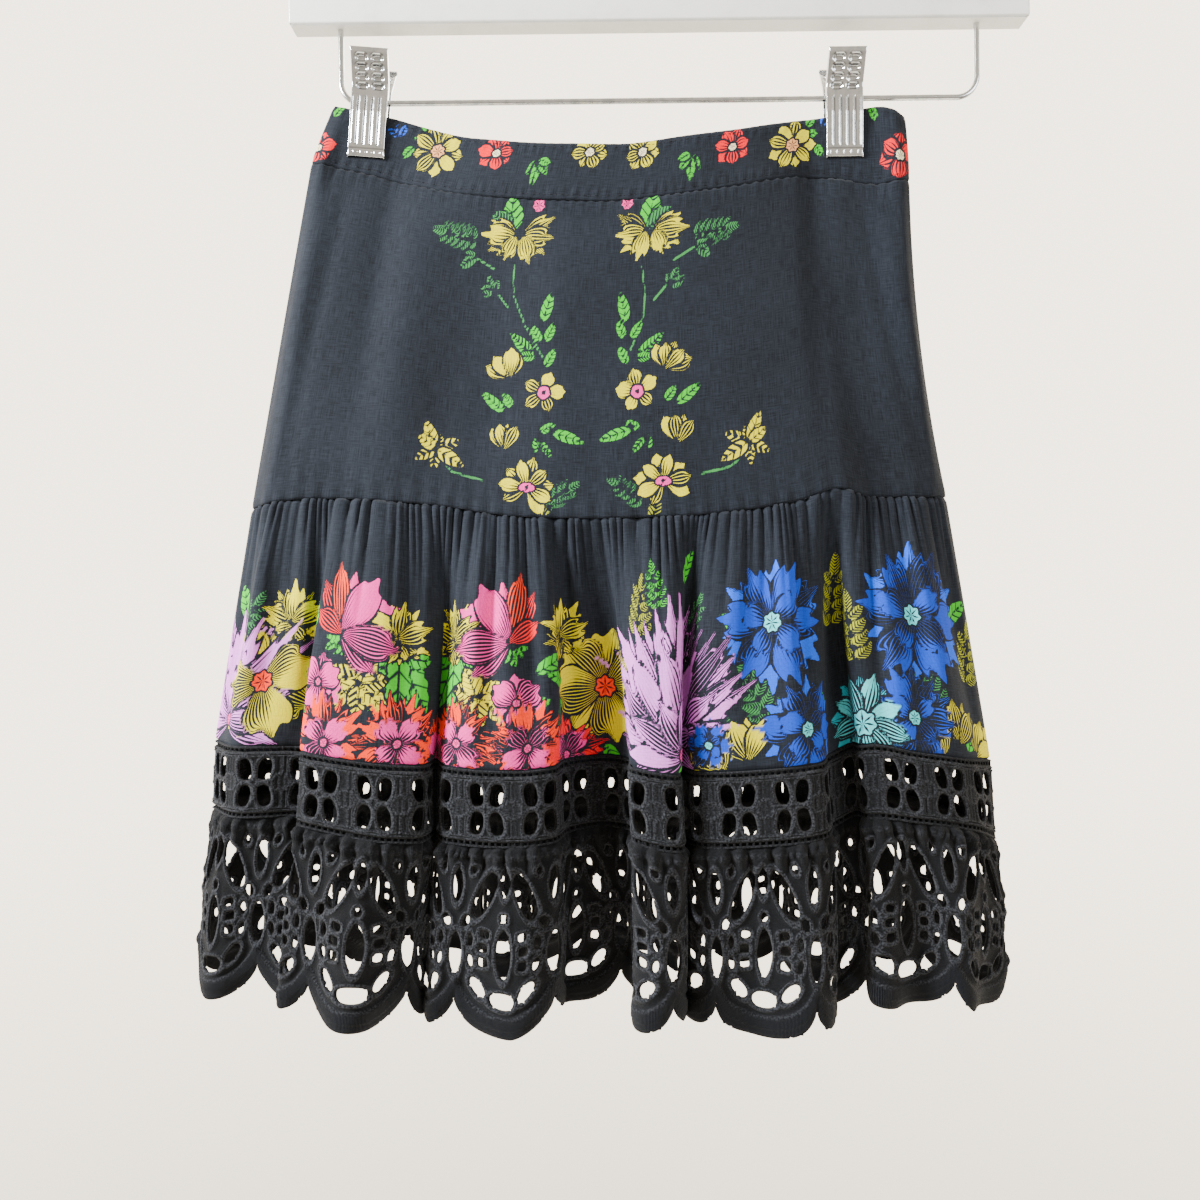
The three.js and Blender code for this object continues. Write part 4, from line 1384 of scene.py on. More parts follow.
@dataclass
class Waistband(PrintedPiece):
    """One side of the waistband, puckered along its seams."""

    def relief(self, x: Array, y: Array) -> Array:
        """Return the rolled edges and the small puckers of the stitching.

        Args:
            x: Places across the cut.
            y: Places down the cut.

        Returns:
            How far each place stands out, in millimetres.
        """
        wander = 1.3 * np.sin(x / 17) + 0.8 * np.sin(x / 6.1)
        pucker = np.sin(2 * np.pi * x / 5.6 + wander)
        seam = 0.22 * pucker * (bell(y, self.height - 3.5, 2.6) + 0.8 * bell(y, 3.0, 2.6))
        stitched = -0.22 * bell(y, self.height - 2.4, 0.8)
        rolled = -0.55 * bell(y, 0, 1.6) - 0.45 * bell(y, self.height, 1.1)
        slack = 0.35 * np.sin(x / 23 + 1.0) * np.sin(np.pi * y / self.height)
        return seam + stitched + rolled + slack


@dataclass(frozen=True)
class Crease:
    """A soft crease or trough from one flat place to another."""

    start: tuple[float, float]
    end: tuple[float, float]
    width: float
    lift: float

    def at(self, x: Array, y: Array) -> Array:
        """Return how far it lifts the cloth.

        Args:
            x: Places across the cut.
            y: Places down the cut.

        Returns:
            How far each place stands out, in millimetres.
        """
        (x0, y0), (x1, y1) = self.start, self.end
        length = math.hypot(x1 - x0, y1 - y0)
        ux, uy = (x1 - x0) / length, (y1 - y0) / length
        along = (x - x0) * ux + (y - y0) * uy
        beside = (x - x0) * uy - (y - y0) * ux
        ends = limit(along / length)
        fade = np.sin(np.pi * limit(0.08 + 0.84 * ends)) ** 0.6
        past = np.maximum(np.abs(along - length / 2) - length / 2, 0)
        return self.lift * fade * np.exp(-((beside / self.width) ** 2) - (past / self.width) ** 2)


@dataclass
class UpperPanel(PrintedPiece):
    """One side of the plain upper panel."""

    creases: tuple[Crease, ...] = (
        Crease((14, 20), (4, 155), 6, 1.1), Crease((26, 10), (20, 160), 5, -0.7),
        Crease((52, 0), (58, 120), 9, -1.0), Crease((78, 30), (84, 165), 14, 0.8),
        Crease((322, 0), (316, 160), 8, -1.1), Crease((338, 5), (342, 160), 7, 1.0),
        Crease((352, 0), (372, 150), 5, -0.9), Crease((366, 10), (380, 120), 5, 0.8),
        Crease((120, 90), (112, 170), 10, 0.6), Crease((262, 80), (272, 170), 11, 0.7),
        Crease((188, 110), (190, 168), 8, -0.5),
    )

    def relief(self, x: Array, y: Array) -> Array:
        """Return the creases, the puckers of the upper seam and the small swell over the gathers.

        Args:
            x: Places across the cut.
            y: Places down the cut.

        Returns:
            How far each place stands out, in millimetres.
        """
        ease = limit(np.minimum(x, self.width - x) / 8)
        creases = sum(crease.at(x, y) for crease in self.creases)
        pucker = 0.28 * np.sin(2 * np.pi * x / 6.4 + 1.4 * np.sin(x / 13)) * np.exp(-y / 4)
        lower = self.height - y
        swell = 0.4 * np.sin(2 * np.pi * x / 9.7 + 1.8 * np.sin(x / 21)) * np.exp(-lower / 9)
        rolled = -0.5 * np.exp(-((lower / 1.4) ** 2)) - 0.5 * np.exp(-((y / 1.3) ** 2))
        slack = 0.5 * np.sin(x / 31 + y / 60) * np.sin(y / 27 + x / 90)
        return ease * (creases + slack) + pucker + swell + rolled


@dataclass
class GatheredTier(PrintedPiece):
    """One side of the gathered tier."""

    gathers: int = 88
    plain: float = 28.0
    plain_pitch: float = 2.6
    finer_across: float = 1.18

    @property
    def plain_rows(self) -> int:
        """Return how many coarse rows lie over the bare cloth at the seam."""
        return round(self.plain / self.plain_pitch)

    def __post_init__(self) -> None:
        """Count the grid's cells, with coarse rows over the bare cloth at the seam."""
        super().__post_init__()
        self.across = round(self.finer_across * self.across)
        self.down = self.plain_rows + round((self.height + self.below - self.plain) / self.pitch)

    def rows(self) -> Array:
        """Return the flat places of the rows, finer from where the print starts.

        Returns:
            The places, from the seam down.
        """
        upper = np.linspace(0, self.plain, self.plain_rows + 1)
        lower = np.linspace(self.plain, self.height + self.below, self.down - self.plain_rows + 1)
        return np.concatenate([upper[:-1], lower])

    def relief(self, x: Array, y: Array) -> Array:
        """Return the gathers, fine at the seam and merging into broad folds further down.

        Args:
            x: Places across the cut.
            y: Places down the cut.

        Returns:
            How far each place stands out, in millimetres.
        """
        ease = limit(np.minimum(x, self.width - x) / 10)
        drift = 0.9 * np.sin(x / 29) + 0.5 * np.sin(x / 11.3 + 1) + 0.3 * np.sin(x / 5.1)
        phase = self.gathers * x / self.width + drift + 0.12 * np.sin(y / 19 + x / 40)
        ridge = np.abs(np.sin(np.pi * phase)) ** 0.6 - 0.68
        height = 0.85 + 0.5 * np.sin(x / 8.3) * np.sin(x / 23)
        fine = 3.0 * height * ridge * np.exp(-((y / 27) ** 1.15))
        middle_phase = phase / 2 + 0.15 * np.sin(x / 17)
        second = 1.2 * (np.abs(np.sin(np.pi * middle_phase)) ** 0.7 - 0.64) * bell(y, 24, 30)
        broad_phase = phase / 5.2 + 0.5 * np.sin(x / 37)
        broad = 2.2 * np.sin(2 * np.pi * broad_phase) * (0.15 + 0.85 * bell(y, 60, 45))
        seam = -1.1 * np.exp(-((y / 1.6) ** 2)) - 0.6 * np.exp(-(((self.height - y) / 1.3) ** 2))
        tucked = -1.7 * limit((y - self.height + 1) / 1.2)
        return ease * (fine + second + broad) * np.clip((self.height + 3 - y) / 12, 0.15, 1) + seam + tucked


@dataclass(frozen=True)
class Hole:
    """One hole of the lace: an oval with square or pointed ends, in one repeat's own flat places."""

    x: float
    y: float
    wide: float
    tall: float
    turn: float = 0.0
    power: float = 2.0

    def distance(self, x: Array, y: Array) -> Array:
        """Return about how far outside the hole each place is, less than 0 inside it.

        Args:
            x: Places across the cut.
            y: Places down the cut.

        Returns:
            The distances in millimetres.
        """
        sine, cosine = math.sin(math.radians(self.turn)), math.cos(math.radians(self.turn))
        dx, dy = x - self.x, y - self.y
        a = np.abs(dx * cosine + dy * sine) / (self.wide / 2)
        b = np.abs(dy * cosine - dx * sine) / (self.tall / 2)
        size = (a ** self.power + b ** self.power + 1e-9) ** (1 / self.power)
        return (size - 1) * min(self.wide, self.tall) / 2


@dataclass
class LacePiece(ClothPiece):
    """A piece of cutwork lace: a repeat of holes, each with a raised cord round it."""

    repeat: float = 26.3
    holes: tuple[Hole, ...] = ()
    shift: float = 0.0
    slot: str = "lace"
    probe: float = 0.05
    snap: float = 0.62
    flattest: float = 0.15
    sliver: float = 0.02
    samples: int = 600

    def gap(self, x: Array, y: Array) -> Array:
        """Return about how far outside the nearest hole each flat place is.

        Args:
            x: Places across the cut.
            y: Places down the cut.

        Returns:
            The distances in millimetres.
        """
        local = np.mod(x + self.shift, self.repeat)
        best = np.full(len(x), 9.0)
        for hole in self.holes:
            for shift in (-self.repeat, 0, self.repeat):
                best = np.minimum(best, hole.distance(local + shift, y))
        return best

    def edge(self, x: Array, y: Array) -> Array:
        """Return how far inside the lower edge each flat place is, less than 0 below it."""
        return self.height - y + 9

    def cut(self, mesh: Mesh, x: Array, y: Array) -> tuple[Mesh, Array, Array]:
        """Move the points near an edge of the holes onto it, and delete the faces inside.

        Args:
            mesh: The flat grid.
            x: Each point's place across.
            y: Each point's place down.

        Returns:
            The cut mesh and its points' places.
        """
        step = self.probe

        def solid(px: Array, py: Array) -> Array:
            """Return how far inside the lace a place is."""
            return np.minimum(self.gap(px, py), self.edge(px, py))

        inside = (x > 0.01) & (x < self.width - 0.01) & (y > 0.01 - self.above)
        for _ in range(2):
            level = solid(x, y)
            sx = (solid(x + step, y) - solid(x - step, y)) / (2 * step)
            sy = (solid(x, y + step) - solid(x, y - step)) / (2 * step)
            square = np.maximum(sx * sx + sy * sy, self.flattest)
            near = inside & (np.abs(level) < self.snap * self.pitch * np.sqrt(square))
            x = np.where(near, x - level * sx / square, x)
            y = np.where(near, y - level * sy / square, y)
        work = bmesh.new()
        work.from_mesh(mesh)
        corners = np.array([[vert.index for vert in face.verts] for face in work.faces])
        gone = solid(x[corners].mean(axis=1), y[corners].mean(axis=1)) < self.sliver
        work.faces.ensure_lookup_table()
        doomed = [work.faces[k] for k in np.flatnonzero(gone)]
        keep = work.verts.layers.int.new("number")
        for vert in work.verts:
            vert[keep] = vert.index
        bmesh.ops.delete(work, geom=doomed, context="FACES")
        kept = np.array([vert[keep] for vert in work.verts])
        work.to_mesh(mesh)
        work.free()
        mesh.attributes.remove(mesh.attributes["number"])
        return mesh, x[kept], y[kept]

    def rim_gap(self, x: Array, y: Array) -> Array:
        """Return about how far outside the nearest corded hole each flat place is."""
        return self.gap(x, y)

    def lines_at(self, x: Array, y: Array) -> Array:
        """Return how much of a raised cord that isn't a hole's rim is at each place."""
        return 0 * x

    def cord_at(self, x: Array, y: Array) -> Array:
        """Return how much of a raised cord is at each flat place, from 0 to 1."""
        return np.maximum(bell(self.rim_gap(x, y), 1.15, 0.8), self.lines_at(x, y))

    def satin_at(self, x: Array, y: Array) -> tuple[Array, Array]:
        """Return how much of the satin border is at each place, and the phase of its stitches."""
        return 0 * x, x

    def dress(self, mesh: Mesh, x: Array, y: Array) -> None:
        """Write where the cords and the satin border are onto the mesh.

        Args:
            mesh: The piece's mesh.
            x: Places across the cut.
            y: Places down the cut.
        """
        satin, along = self.satin_at(x, y)
        rim = np.clip(self.rim_gap(x, y), -1, 5)
        write_field(mesh, "thread", "FLOAT_VECTOR", np.stack([rim, satin, along], axis=1))
        write_field(mesh, "cord", "FLOAT_VECTOR", np.stack([self.lines_at(x, y), 0 * x, 0 * x], axis=1))

    def area(self) -> float:
        """Return the net area of the cut lace in square metres.

        Returns:
            The area of what the holes leave.
        """
        across = np.linspace(0, self.width, self.samples)
        down = np.linspace(-self.above, self.height, self.samples // 4)
        x, y = (places.ravel() for places in np.meshgrid(across, down))
        kept = (np.minimum(self.gap(x, y), self.edge(x, y)) > 0).mean()
        return float(kept) * self.width * (self.height + self.above) * MM * MM


@dataclass
class LaceBand(LacePiece):
    """One side of the flat insertion band: four-hole flowers, discs and ladders of small holes."""

    ladder: float = 3.1
    ladder_rows: tuple[float, ...] = (0.0, 0.9, 1.9, 2.9)
    rail_rows: tuple[float, ...] = (3.4, 3.8, 4.2, 4.7, 5.1, 5.5)
    inner_rows: tuple[int, int] = (26, 20)

    def __post_init__(self) -> None:
        """Count the columns, three to each hole of the ladder, and the rows."""
        self.across = 3 * round(self.width / self.ladder)
        inner = self.inner_rows[self.side is Side.BACK]
        self.down = inner + 2 * (len(self.ladder_rows) + len(self.rail_rows) - 1)

    def rows(self) -> Array:
        """Return the rows: a ladder's and its cords' at each edge, and even ones between.

        Returns:
            The places, from the upper edge down.
        """
        top = np.array(self.ladder_rows + self.rail_rows)
        between = np.linspace(top[-1], self.height - top[-1], self.down - 2 * (len(top) - 1) + 1)
        return np.concatenate([top[:-1], between, (self.height - top[:-1])[::-1]])

    def gap(self, x: Array, y: Array) -> Array:
        """Return about how far outside the nearest hole each flat place is.

        Args:
            x: Places across the cut.
            y: Places down the cut.

        Returns:
            The distances in millimetres.
        """
        flowers = super().gap(x, y)
        first, last = self.ladder_rows[1], self.ladder_rows[-1]
        from_edge = np.minimum(y, self.height - y)
        cell = np.mod(x, self.ladder)
        third = self.ladder / 3
        beside = np.maximum(third / 2 - cell, cell - third * 2.5)
        along = np.maximum(first - from_edge, from_edge - last)
        return np.minimum(flowers, np.maximum(beside, along))

    def columns(self) -> Array:
        """Return the columns, moved so that each hole's sides are on one.

        Returns:
            The places, from the left.
        """
        places = np.linspace(0, self.width, self.across + 1) + self.ladder / 6
        places[0], places[-1] = 0, self.width
        return places

    def rim_gap(self, x: Array, y: Array) -> Array:
        """Return about how far outside the nearest hole of a flower each flat place is."""
        return super().gap(x, y)

    def lines_at(self, x: Array, y: Array) -> Array:
        """Return the cords along the ladders, round the discs, and the fine lines between the flowers.

        Args:
            x: Places across the cut.
            y: Places down the cut.

        Returns:
            The share of a cord at each place, from 0 to 1.
        """
        from_edge = np.minimum(y, self.height - y)
        rails = bell(from_edge, 3.8, 0.35) + bell(from_edge, 5.1, 0.35) + 0.6 * bell(from_edge, 0.0, 0.4)
        dx = np.mod(x + self.shift + self.repeat / 2, self.repeat) - self.repeat / 2
        dy = y - self.height / 2
        radius = np.hypot(dx, dy)
        disc = bell(radius, 4.5, 0.6)
        rays = np.where(radius < 4.2, 0.6 * np.abs(np.cos(np.pi * dx / 1.6)), 0)
        posts = (radius > 4.9) & (from_edge > 5.3)
        posts = np.where(posts, bell(np.abs(dx), 0.7, 0.45) + bell(np.abs(dx), 2.8, 0.45), 0)
        return limit(rails + disc + rays + 0.75 * posts)

    def relief(self, x: Array, y: Array) -> Array:
        """Return the cords' height and the drawn-in edges."""
        return 0.75 * self.cord_at(x, y) - 0.4 + 0.5 * np.sin(x / 9.1) * np.sin(x / 23 + y / 11)


@dataclass
class LaceRuffle(LacePiece):
    """One side of the scalloped ruffle."""

    sag: float = 15.0
    border: float = 9.0

    def edge(self, x: Array, y: Array) -> Array:
        """Return how far above the scalloped hem each flat place is.

        Args:
            x: Places across the cut.
            y: Places down the cut.

        Returns:
            The distances in millimetres.
        """
        local = np.mod(x, self.repeat) / self.repeat
        arc = (1 - np.abs(2 * local - 1) ** 3 + 1e-6) ** 0.75 * self.sag
        low = self.height - self.sag + arc
        slope = 0.7 + 0.3 * np.sin(np.pi * local)
        return (low - y) * slope

    def satin_at(self, x: Array, y: Array) -> tuple[Array, Array]:
        """Return the border of satin stitches along the hem."""
        inside = self.edge(x, y)
        return limit((self.border - 0.6 - inside) / 1.2), x

    def lines_at(self, x: Array, y: Array) -> Array:
        """Return the ridge between the border's two layers, and the heading's edge.

        Args:
            x: Places across the cut.
            y: Places down the cut.

        Returns:
            The share of a cord at each place, from 0 to 1.
        """
        inside = self.edge(x, y)
        frill = bell(y, 4.5, 0.9) * (0.5 + 0.5 * np.sin(2 * np.pi * x / 3.9 + 2 * np.sin(x / 11)))
        ridges = 0.8 * bell(inside, self.border, 0.8) + 0.35 * bell(inside, 4.2, 0.6) + 0.7 * frill
        return limit(ridges)

    def relief(self, x: Array, y: Array) -> Array:
        """Return the cords' height, the padded border and the loose waves of the hem.

        Args:
            x: Places across the cut.
            y: Places down the cut.

        Returns:
            How far each place stands out, in millimetres.
        """
        inside = self.edge(x, y)
        padded = 0.7 * limit(inside / 1.4) * limit((self.border - inside) / 1.0)
        step = 0.5 * limit((inside - 4.0) / 0.8) * limit((self.border - inside) / 1.0)
        share = limit(y / self.height)
        ease = limit(np.minimum(x, self.width - x) / 25)
        waves = np.sin(2 * np.pi * x / 91 + 0.9 * np.sin(x / 37)) + 0.7 * np.sin(2 * np.pi * x / 47 + 2)
        pleats = np.sin(2 * np.pi * x / 12.5 + 1.2 * np.sin(x / 19))
        frills = np.sin(2 * np.pi * x / 7.3 + 1.6 * np.sin(x / 13) + 0.5 * np.sin(y / 2))
        curls = np.sin(2 * np.pi * x / 4.3 + 2.2 * np.sin(x / 7) + 0.8 * y) * (0.5 + 0.5 * np.sin(x / 16 + 1))
        gathered = (1.5 * pleats + 1.1 * frills) * bell(y, 6.0, 6.5) + 0.8 * curls * bell(y, 4.0, 2.6)
        gathered = gathered + 0.9 * bell(y, 4.5, 3.0)
        behind = -1.9 * limit((1.2 - y) / 1.6)
        cords = 0.9 * self.cord_at(x, y)
        return cords + padded + step + ease * (2.2 * share * waves + gathered) + behind - 0.4


BAND_HOLES = tuple(
    Hole(13.15 + side * 4.9, 19 + end * 7.1, 6.9, 11.6, side * end * -9, 2.5)
    for side in (-1, 1) for end in (-1, 1)
)
RUFFLE_HOLES = (
    Hole(27.5, 17, 6, 14, 0, 1.7), Hole(16, 24, 9.5, 26, 26, 2.2), Hole(39, 24, 9.5, 26, -26, 2.2),
    Hole(0, 20, 6.5, 17, 0, 1.9), Hole(5.6, 38, 4.6, 6.5, 24), Hole(49.4, 38, 4.6, 6.5, -24),
    Hole(27.5, 34.5, 4.4, 5, 0), Hole(27.5, 52, 9.5, 24, 0, 1.8), Hole(0, 54.5, 8, 21, 0, 1.9),
    Hole(16.8, 43.2, 5.4, 4.4, 8, 3), Hole(16, 50.2, 5.4, 4.8, 0, 3), Hole(16.2, 57.4, 5.4, 4.8, -6, 3),
    Hole(38.2, 43.2, 5.4, 4.4, -8, 3), Hole(39, 50.2, 5.4, 4.8, 0, 3), Hole(38.8, 57.4, 5.4, 4.8, 6, 3),
    Hole(8.8, 47, 3.6, 6.6, 0), Hole(46.2, 47, 3.6, 6.6, 0), Hole(9.2, 57.5, 3.4, 6.4, -12),
    Hole(45.8, 57.5, 3.4, 6.4, 12), Hole(9.4, 11.5, 3.4, 4.6, 20), Hole(45.8, 11.5, 3.4, 4.6, -20),
    Hole(27.5, 74.5, 15, 8.5, 0, 2.3), Hole(13.6, 70, 11, 6, 50, 2.2), Hole(41.4, 70, 11, 6, -50, 2.2),
)


def shrunk(holes: Iterable[Hole], share: float) -> tuple[Hole, ...]:
    """Return the holes at a share of their size, as where a lace has drawn in."""
    return tuple(Hole(h.x, h.y, h.wide * share, h.tall * share, h.turn, h.power) for h in holes)


@dataclass
class Topstitching:
    """Rows of stitches along the seams of one side, each stitch a small rounded block on the cloth."""

    side: Side
    length: float = 2.2
    thick: float = 0.45
    pitch: float = 3.0
    end_gap: float = 4.0
    lift: float = 0.8
    rows: tuple[float, ...] = (28.6, 2.2)

    def build(self, material: Material) -> Piece:
        """Make the stitches of each row as one piece.

        Args:
            material: The thread.

        Returns:
            The stitches.
        """
        work = bmesh.new()
        band = Waistband("waistband", self.side, *CUTS["waistband"], pitch=1.0, wall=1.6)
        size = Matrix.Diagonal((self.length * MM, self.thick * MM, self.thick * MM * 0.8, 1))
        for down in self.rows:
            count = int((band.width - 2 * self.end_gap) / self.pitch)
            x = self.end_gap + self.pitch * (np.arange(count) + 0.5)
            y = np.full(count, down)
            centre, across, downward, outward = wall_frame(
                band.piece, self.side, x / band.width, y / band.height)
            lift = band.relief(x, y) + self.lift
            for k in range(count):
                turn = Matrix((across[k], downward[k], outward[k])).transposed().to_4x4()
                place = Matrix.Translation(Vector(centre[k] + outward[k] * lift[k]) * MM)
                bmesh.ops.create_icosphere(work, subdivisions=1, radius=0.5, matrix=place @ turn @ size)
        bmesh.ops.recalc_face_normals(work, faces=work.faces)
        name = f"stitches_{self.side.value}"
        return add_piece(name, to_mesh(work, name), material, "printed_cotton")


@dataclass
class Rod:
    """A round wire along a smooth path."""

    name: str
    path: Sequence[Point]
    radius: float
    node: str

    def build(self, material: Material) -> Piece:
        """Make the wire as a rounded curve with closed ends.

        Args:
            material: Its finish.

        Returns:
            The wire.
        """
        curve = bpy.data.curves.new(self.name, "CURVE")
        curve.dimensions = "3D"
        curve.bevel_depth = self.radius * MM
        curve.bevel_resolution = 4
        curve.use_fill_caps = True
        line = curve.splines.new("POLY")
        line.points.add(len(self.path) - 1)
        flat = np.concatenate([np.array(self.path) * MM, np.ones((len(self.path), 1))], axis=1)
        line.points.foreach_set("co", flat.astype(np.float32).ravel())
        line.use_smooth = True
        return add_piece(self.name, curve, material, "chrome", self.node)


def arc(x: float, z: float, radius: float, start: float, end: float, steps: int) -> list[Point]:
    """Return the points of an arc in the XZ plane, between two angles in degrees."""
    angles = np.radians(np.linspace(start, end, steps + 1))
    return [(x + radius * math.cos(a), 0.0, z + radius * math.sin(a)) for a in angles]


@dataclass
class Hanger:
    """The white bar, its hook, and the wire that the clips slide on."""

    bar_length: float = 389.0
    bar_thick: float = 12.0
    bar_height: float = 40.0
    bar_underside: float = -106.0
    bar_edge: float = 1.1
    wire_radius: float = 1.5
    leg_x: float = 168.5
    run_z: float = -145.5
    corner: float = 11.0
    hook_radius: float = 2.0
    hook_inner: float = 19.0
    gap: float = 0.3
    groove_inset: float = 2.2
    groove_slope: float = 0.4
    groove_depth: float = 0.5

    def build_bar(self, white: Material) -> Piece:
        """Make the bar, with softened edges and a shallow groove along its underside.

        Args:
            white: Its finish.

        Returns:
            The bar.
        """
        work = bmesh.new()
        centre = Vector((0, 0, self.bar_underside + self.bar_height / 2)) * MM
        size = Matrix.Diagonal((self.bar_length * MM, self.bar_thick * MM, self.bar_height * MM, 1))
        bmesh.ops.create_cube(work, size=1.0, matrix=Matrix.Translation(centre) @ size)
        bmesh.ops.bevel(
            work, geom=list(work.edges), offset=self.bar_edge * MM, offset_type="OFFSET", segments=3,
            profile=0.5, affect="EDGES", material=-1,
        )
        under = [face for face in work.faces if face.normal.z < -0.9]
        bmesh.ops.inset_region(work, faces=under, thickness=self.groove_inset * MM, depth=0)
        bmesh.ops.inset_region(
            work, faces=under, thickness=self.groove_slope * MM, depth=-self.groove_depth * MM)
        mesh = to_mesh(work, "bar")
        mesh.set_sharp_from_angle(angle=math.radians(35))
        return add_piece("painted_bar", mesh, white, "white_paint", "hanger_bar")

    def build(self, white: Material, chrome: Material) -> None:
        """Make the bar, the hook and the wire.

        Args:
            white: The bar's finish.
            chrome: The hook's and the wire's.
        """
        self.build_bar(white)
        top = self.bar_underside + self.bar_height + self.gap
        ring = self.hook_inner + self.hook_radius
        neck = -self.hook_inner - ring - 4.0
        hook = [(0.0, 0.0, top), (0.0, 0.0, top + 10), (0.0, 0.0, neck - 2.0), (0.0, 0.0, neck)]
        hook += [(2.0 * k, 0.0, neck + 3.2 * k - 0.2 * k * k) for k in (1, 2, 3, 4)]
        hook += arc(0, -self.hook_inner, ring, -50, 190, 60)
        Rod("steel_hook", hook, self.hook_radius, "hanger_hook").build(chrome)
        leg_top, bend = self.bar_underside - self.gap, self.run_z + self.corner
        wire = [(-self.leg_x, 0.0, leg_top)]
        wire += arc(self.corner - self.leg_x, bend, self.corner, 180, 270, 14)
        wire += arc(self.leg_x - self.corner, bend, self.corner, 270, 360, 14)
        wire += [(self.leg_x, 0.0, leg_top)]
        Rod("steel_wire", wire, self.wire_radius, "hanger_wire").build(chrome)


@dataclass
class Clip:
    """One spring clip: two stamped jaws and the coil between them."""

    name: str
    x: float
    spring_x: float
    tilt: float
    lift: float
    width: float = 19.5
    wall: float = 0.8
    flange: float = 3.4
    fold: float = 0.6
    run_z: float = -145.5
    dimple_x: float = 4.1
    dimple_z: tuple[float, ...] = (18.0, 14.0, 10.0, 6.0)
    dimple_half: tuple[float, float] = (3.5, 1.7)
    flute_pitch: float = 3.7
    flute_reach: float = 8.6
    coil_turns: int = 5
    coil_radius: float = 3.2
    coil_half: float = 4.2
    coil_wire: float = 0.65
    cells: tuple[tuple[int, int], ...] = ((56, 120), (40, 84))
    profile: tuple[tuple[float, float], ...] = (
        (10.2, 22.9), (11.6, 22.3), (11.3, 20.4), (4.6, 7.4), (4.3, 5.5), (4.3, -7.0), (4.2, -9.0),
        (3.4, -27.0), (3.3, -29.0), (2.7, -30.6),
    )

    def dimples(self, s: Array, z: Array) -> Iterable[tuple[Array, Array]]:
        """Yield, for each dimple of the upper half, how far each place is beside it and above it.

        Args:
            s: Places across the jaw, from its middle.
            z: Heights over the wire.

        Yields:
            The distances beside and above one dimple's middle.
        """
        for height in self.dimple_z:
            for side in (-1, 1):
                yield np.abs(s - side * self.dimple_x), z - height

    def stamped(self, s: Array, z: Array) -> Array:
        """Return the height of the stamped pattern.

        Args:
            s: Places across the jaw, from its middle.
            z: Heights over the wire.

        Returns:
            How far each place is pressed out, less than 0 for a hollow.
        """
        hollow = 0 * s
        for beside, above in self.dimples(s, z):
            dx, dz = beside / self.dimple_half[0], np.abs(above) / self.dimple_half[1]
            depth = np.clip(1.25 * (1 - np.maximum(dx * 0.75 + dz * 0.55, np.maximum(dx, dz))), 0, 0.55)
            hollow = np.minimum(hollow, -3.0 * depth)
        ribs = np.abs(np.cos(np.pi * s / self.flute_pitch))
        flutes = 0.85 * (ribs ** 0.7 - 0.5) * (np.abs(s) < self.flute_reach)
        lower = limit((1.5 - z) / 1.0) * limit((z + 25.0) / 1.0)
        lip = limit((-26.5 - z) / 1.0) * 0.5
        from_dot = np.mod(s + self.flute_pitch / 2, self.flute_pitch) - self.flute_pitch / 2
        dots = -0.7 * limit(1 - ((from_dot / 0.9) ** 2 + ((z + 28.4) / 0.8) ** 2))
        return hollow + flutes * lower + lip + dots * (np.abs(s) < 7.6)

    def painted_groove_shade(self, s: Array, z: Array) -> Array:
        """Return the painted shade of the stamped pattern, from 0 to 1: dark lines between the flutes, along
        each dimple's upper edge and at the fold of the lip.

        Args:
            s: Places across the jaw, from its middle.
            z: Heights over the wire.

        Returns:
            The painted shade at each place.
        """
        lower = limit((1.0 - z) / 1.5) * limit((z + 25.0) / 1.5)
        ribs = np.abs(np.cos(np.pi * s / self.flute_pitch))
        flutes = 0.85 * limit(1 - ribs / 0.62) * lower * (np.abs(s) < self.flute_reach)
        edges = 0 * s
        for beside, above in self.dimples(s, z):
            dark = 0.9 * limit(1 - np.abs(above - 1.1) / 0.65)
            edges = np.maximum(edges, dark * (beside / self.dimple_half[0] < 0.85))
        seam = 0.6 * bell(z, -26.3, 0.5)
        return limit(flutes + edges + seam)

    def build_jaw(self, end: str, chrome: Material) -> Piece:
        """Make one jaw from a flat blank that is stamped and folded.

        Args:
            end: front or rear.
            chrome: Its finish.

        Returns:
            The jaw.
        """
        front = end == "front"
        columns, rows = self.cells[not front]
        mesh, places = grid_mesh(f"clip_{self.name}_{end}", columns, rows, not front)
        blank = self.width + 2 * self.flange - 2.0
        s, t = places[:, 0] * blank, 0.5 - places[:, 1]
        line = np.array(self.profile)
        lengths = np.concatenate([[0], np.cumsum(np.linalg.norm(np.diff(line, axis=0), axis=1))])
        out, z = (np.interp(t * lengths[-1], lengths, line[:, k]) for k in (0, 1))
        half = self.width / 2 - self.fold
        over = np.clip(np.abs(s) - half, 0, None)
        rounded = self.fold * np.sin(np.clip(over / 0.95, 0, np.pi / 2))
        across = np.sign(s) * (np.minimum(np.abs(s), half) + rounded)
        ends = limit((22.0 - z) / 3) * limit((z + 30) / 4)
        back = np.clip(over - self.fold, 0, None) * ends
        out = out - np.minimum(back, np.maximum(out - 2.0, 0)) + np.where(over > 0, 0, self.stamped(s, z))
        tilt = math.radians(self.tilt)
        x = self.x + across * math.cos(tilt) + z * math.sin(tilt)
        height = self.run_z + self.lift - across * math.sin(tilt) + z * math.cos(tilt)
        move_points(mesh, np.stack([x, -out if front else out, height], axis=1))
        # Painted shade of the stamped grooves, which the chrome reads.
        write_field(mesh, "groove_shade", "FLOAT", self.painted_groove_shade(s, z))
        node = f"clip_{self.name}_{end}_jaw"
        return add_piece(mesh.name, mesh, chrome, "chrome", node, Wall(self.wall, -1))

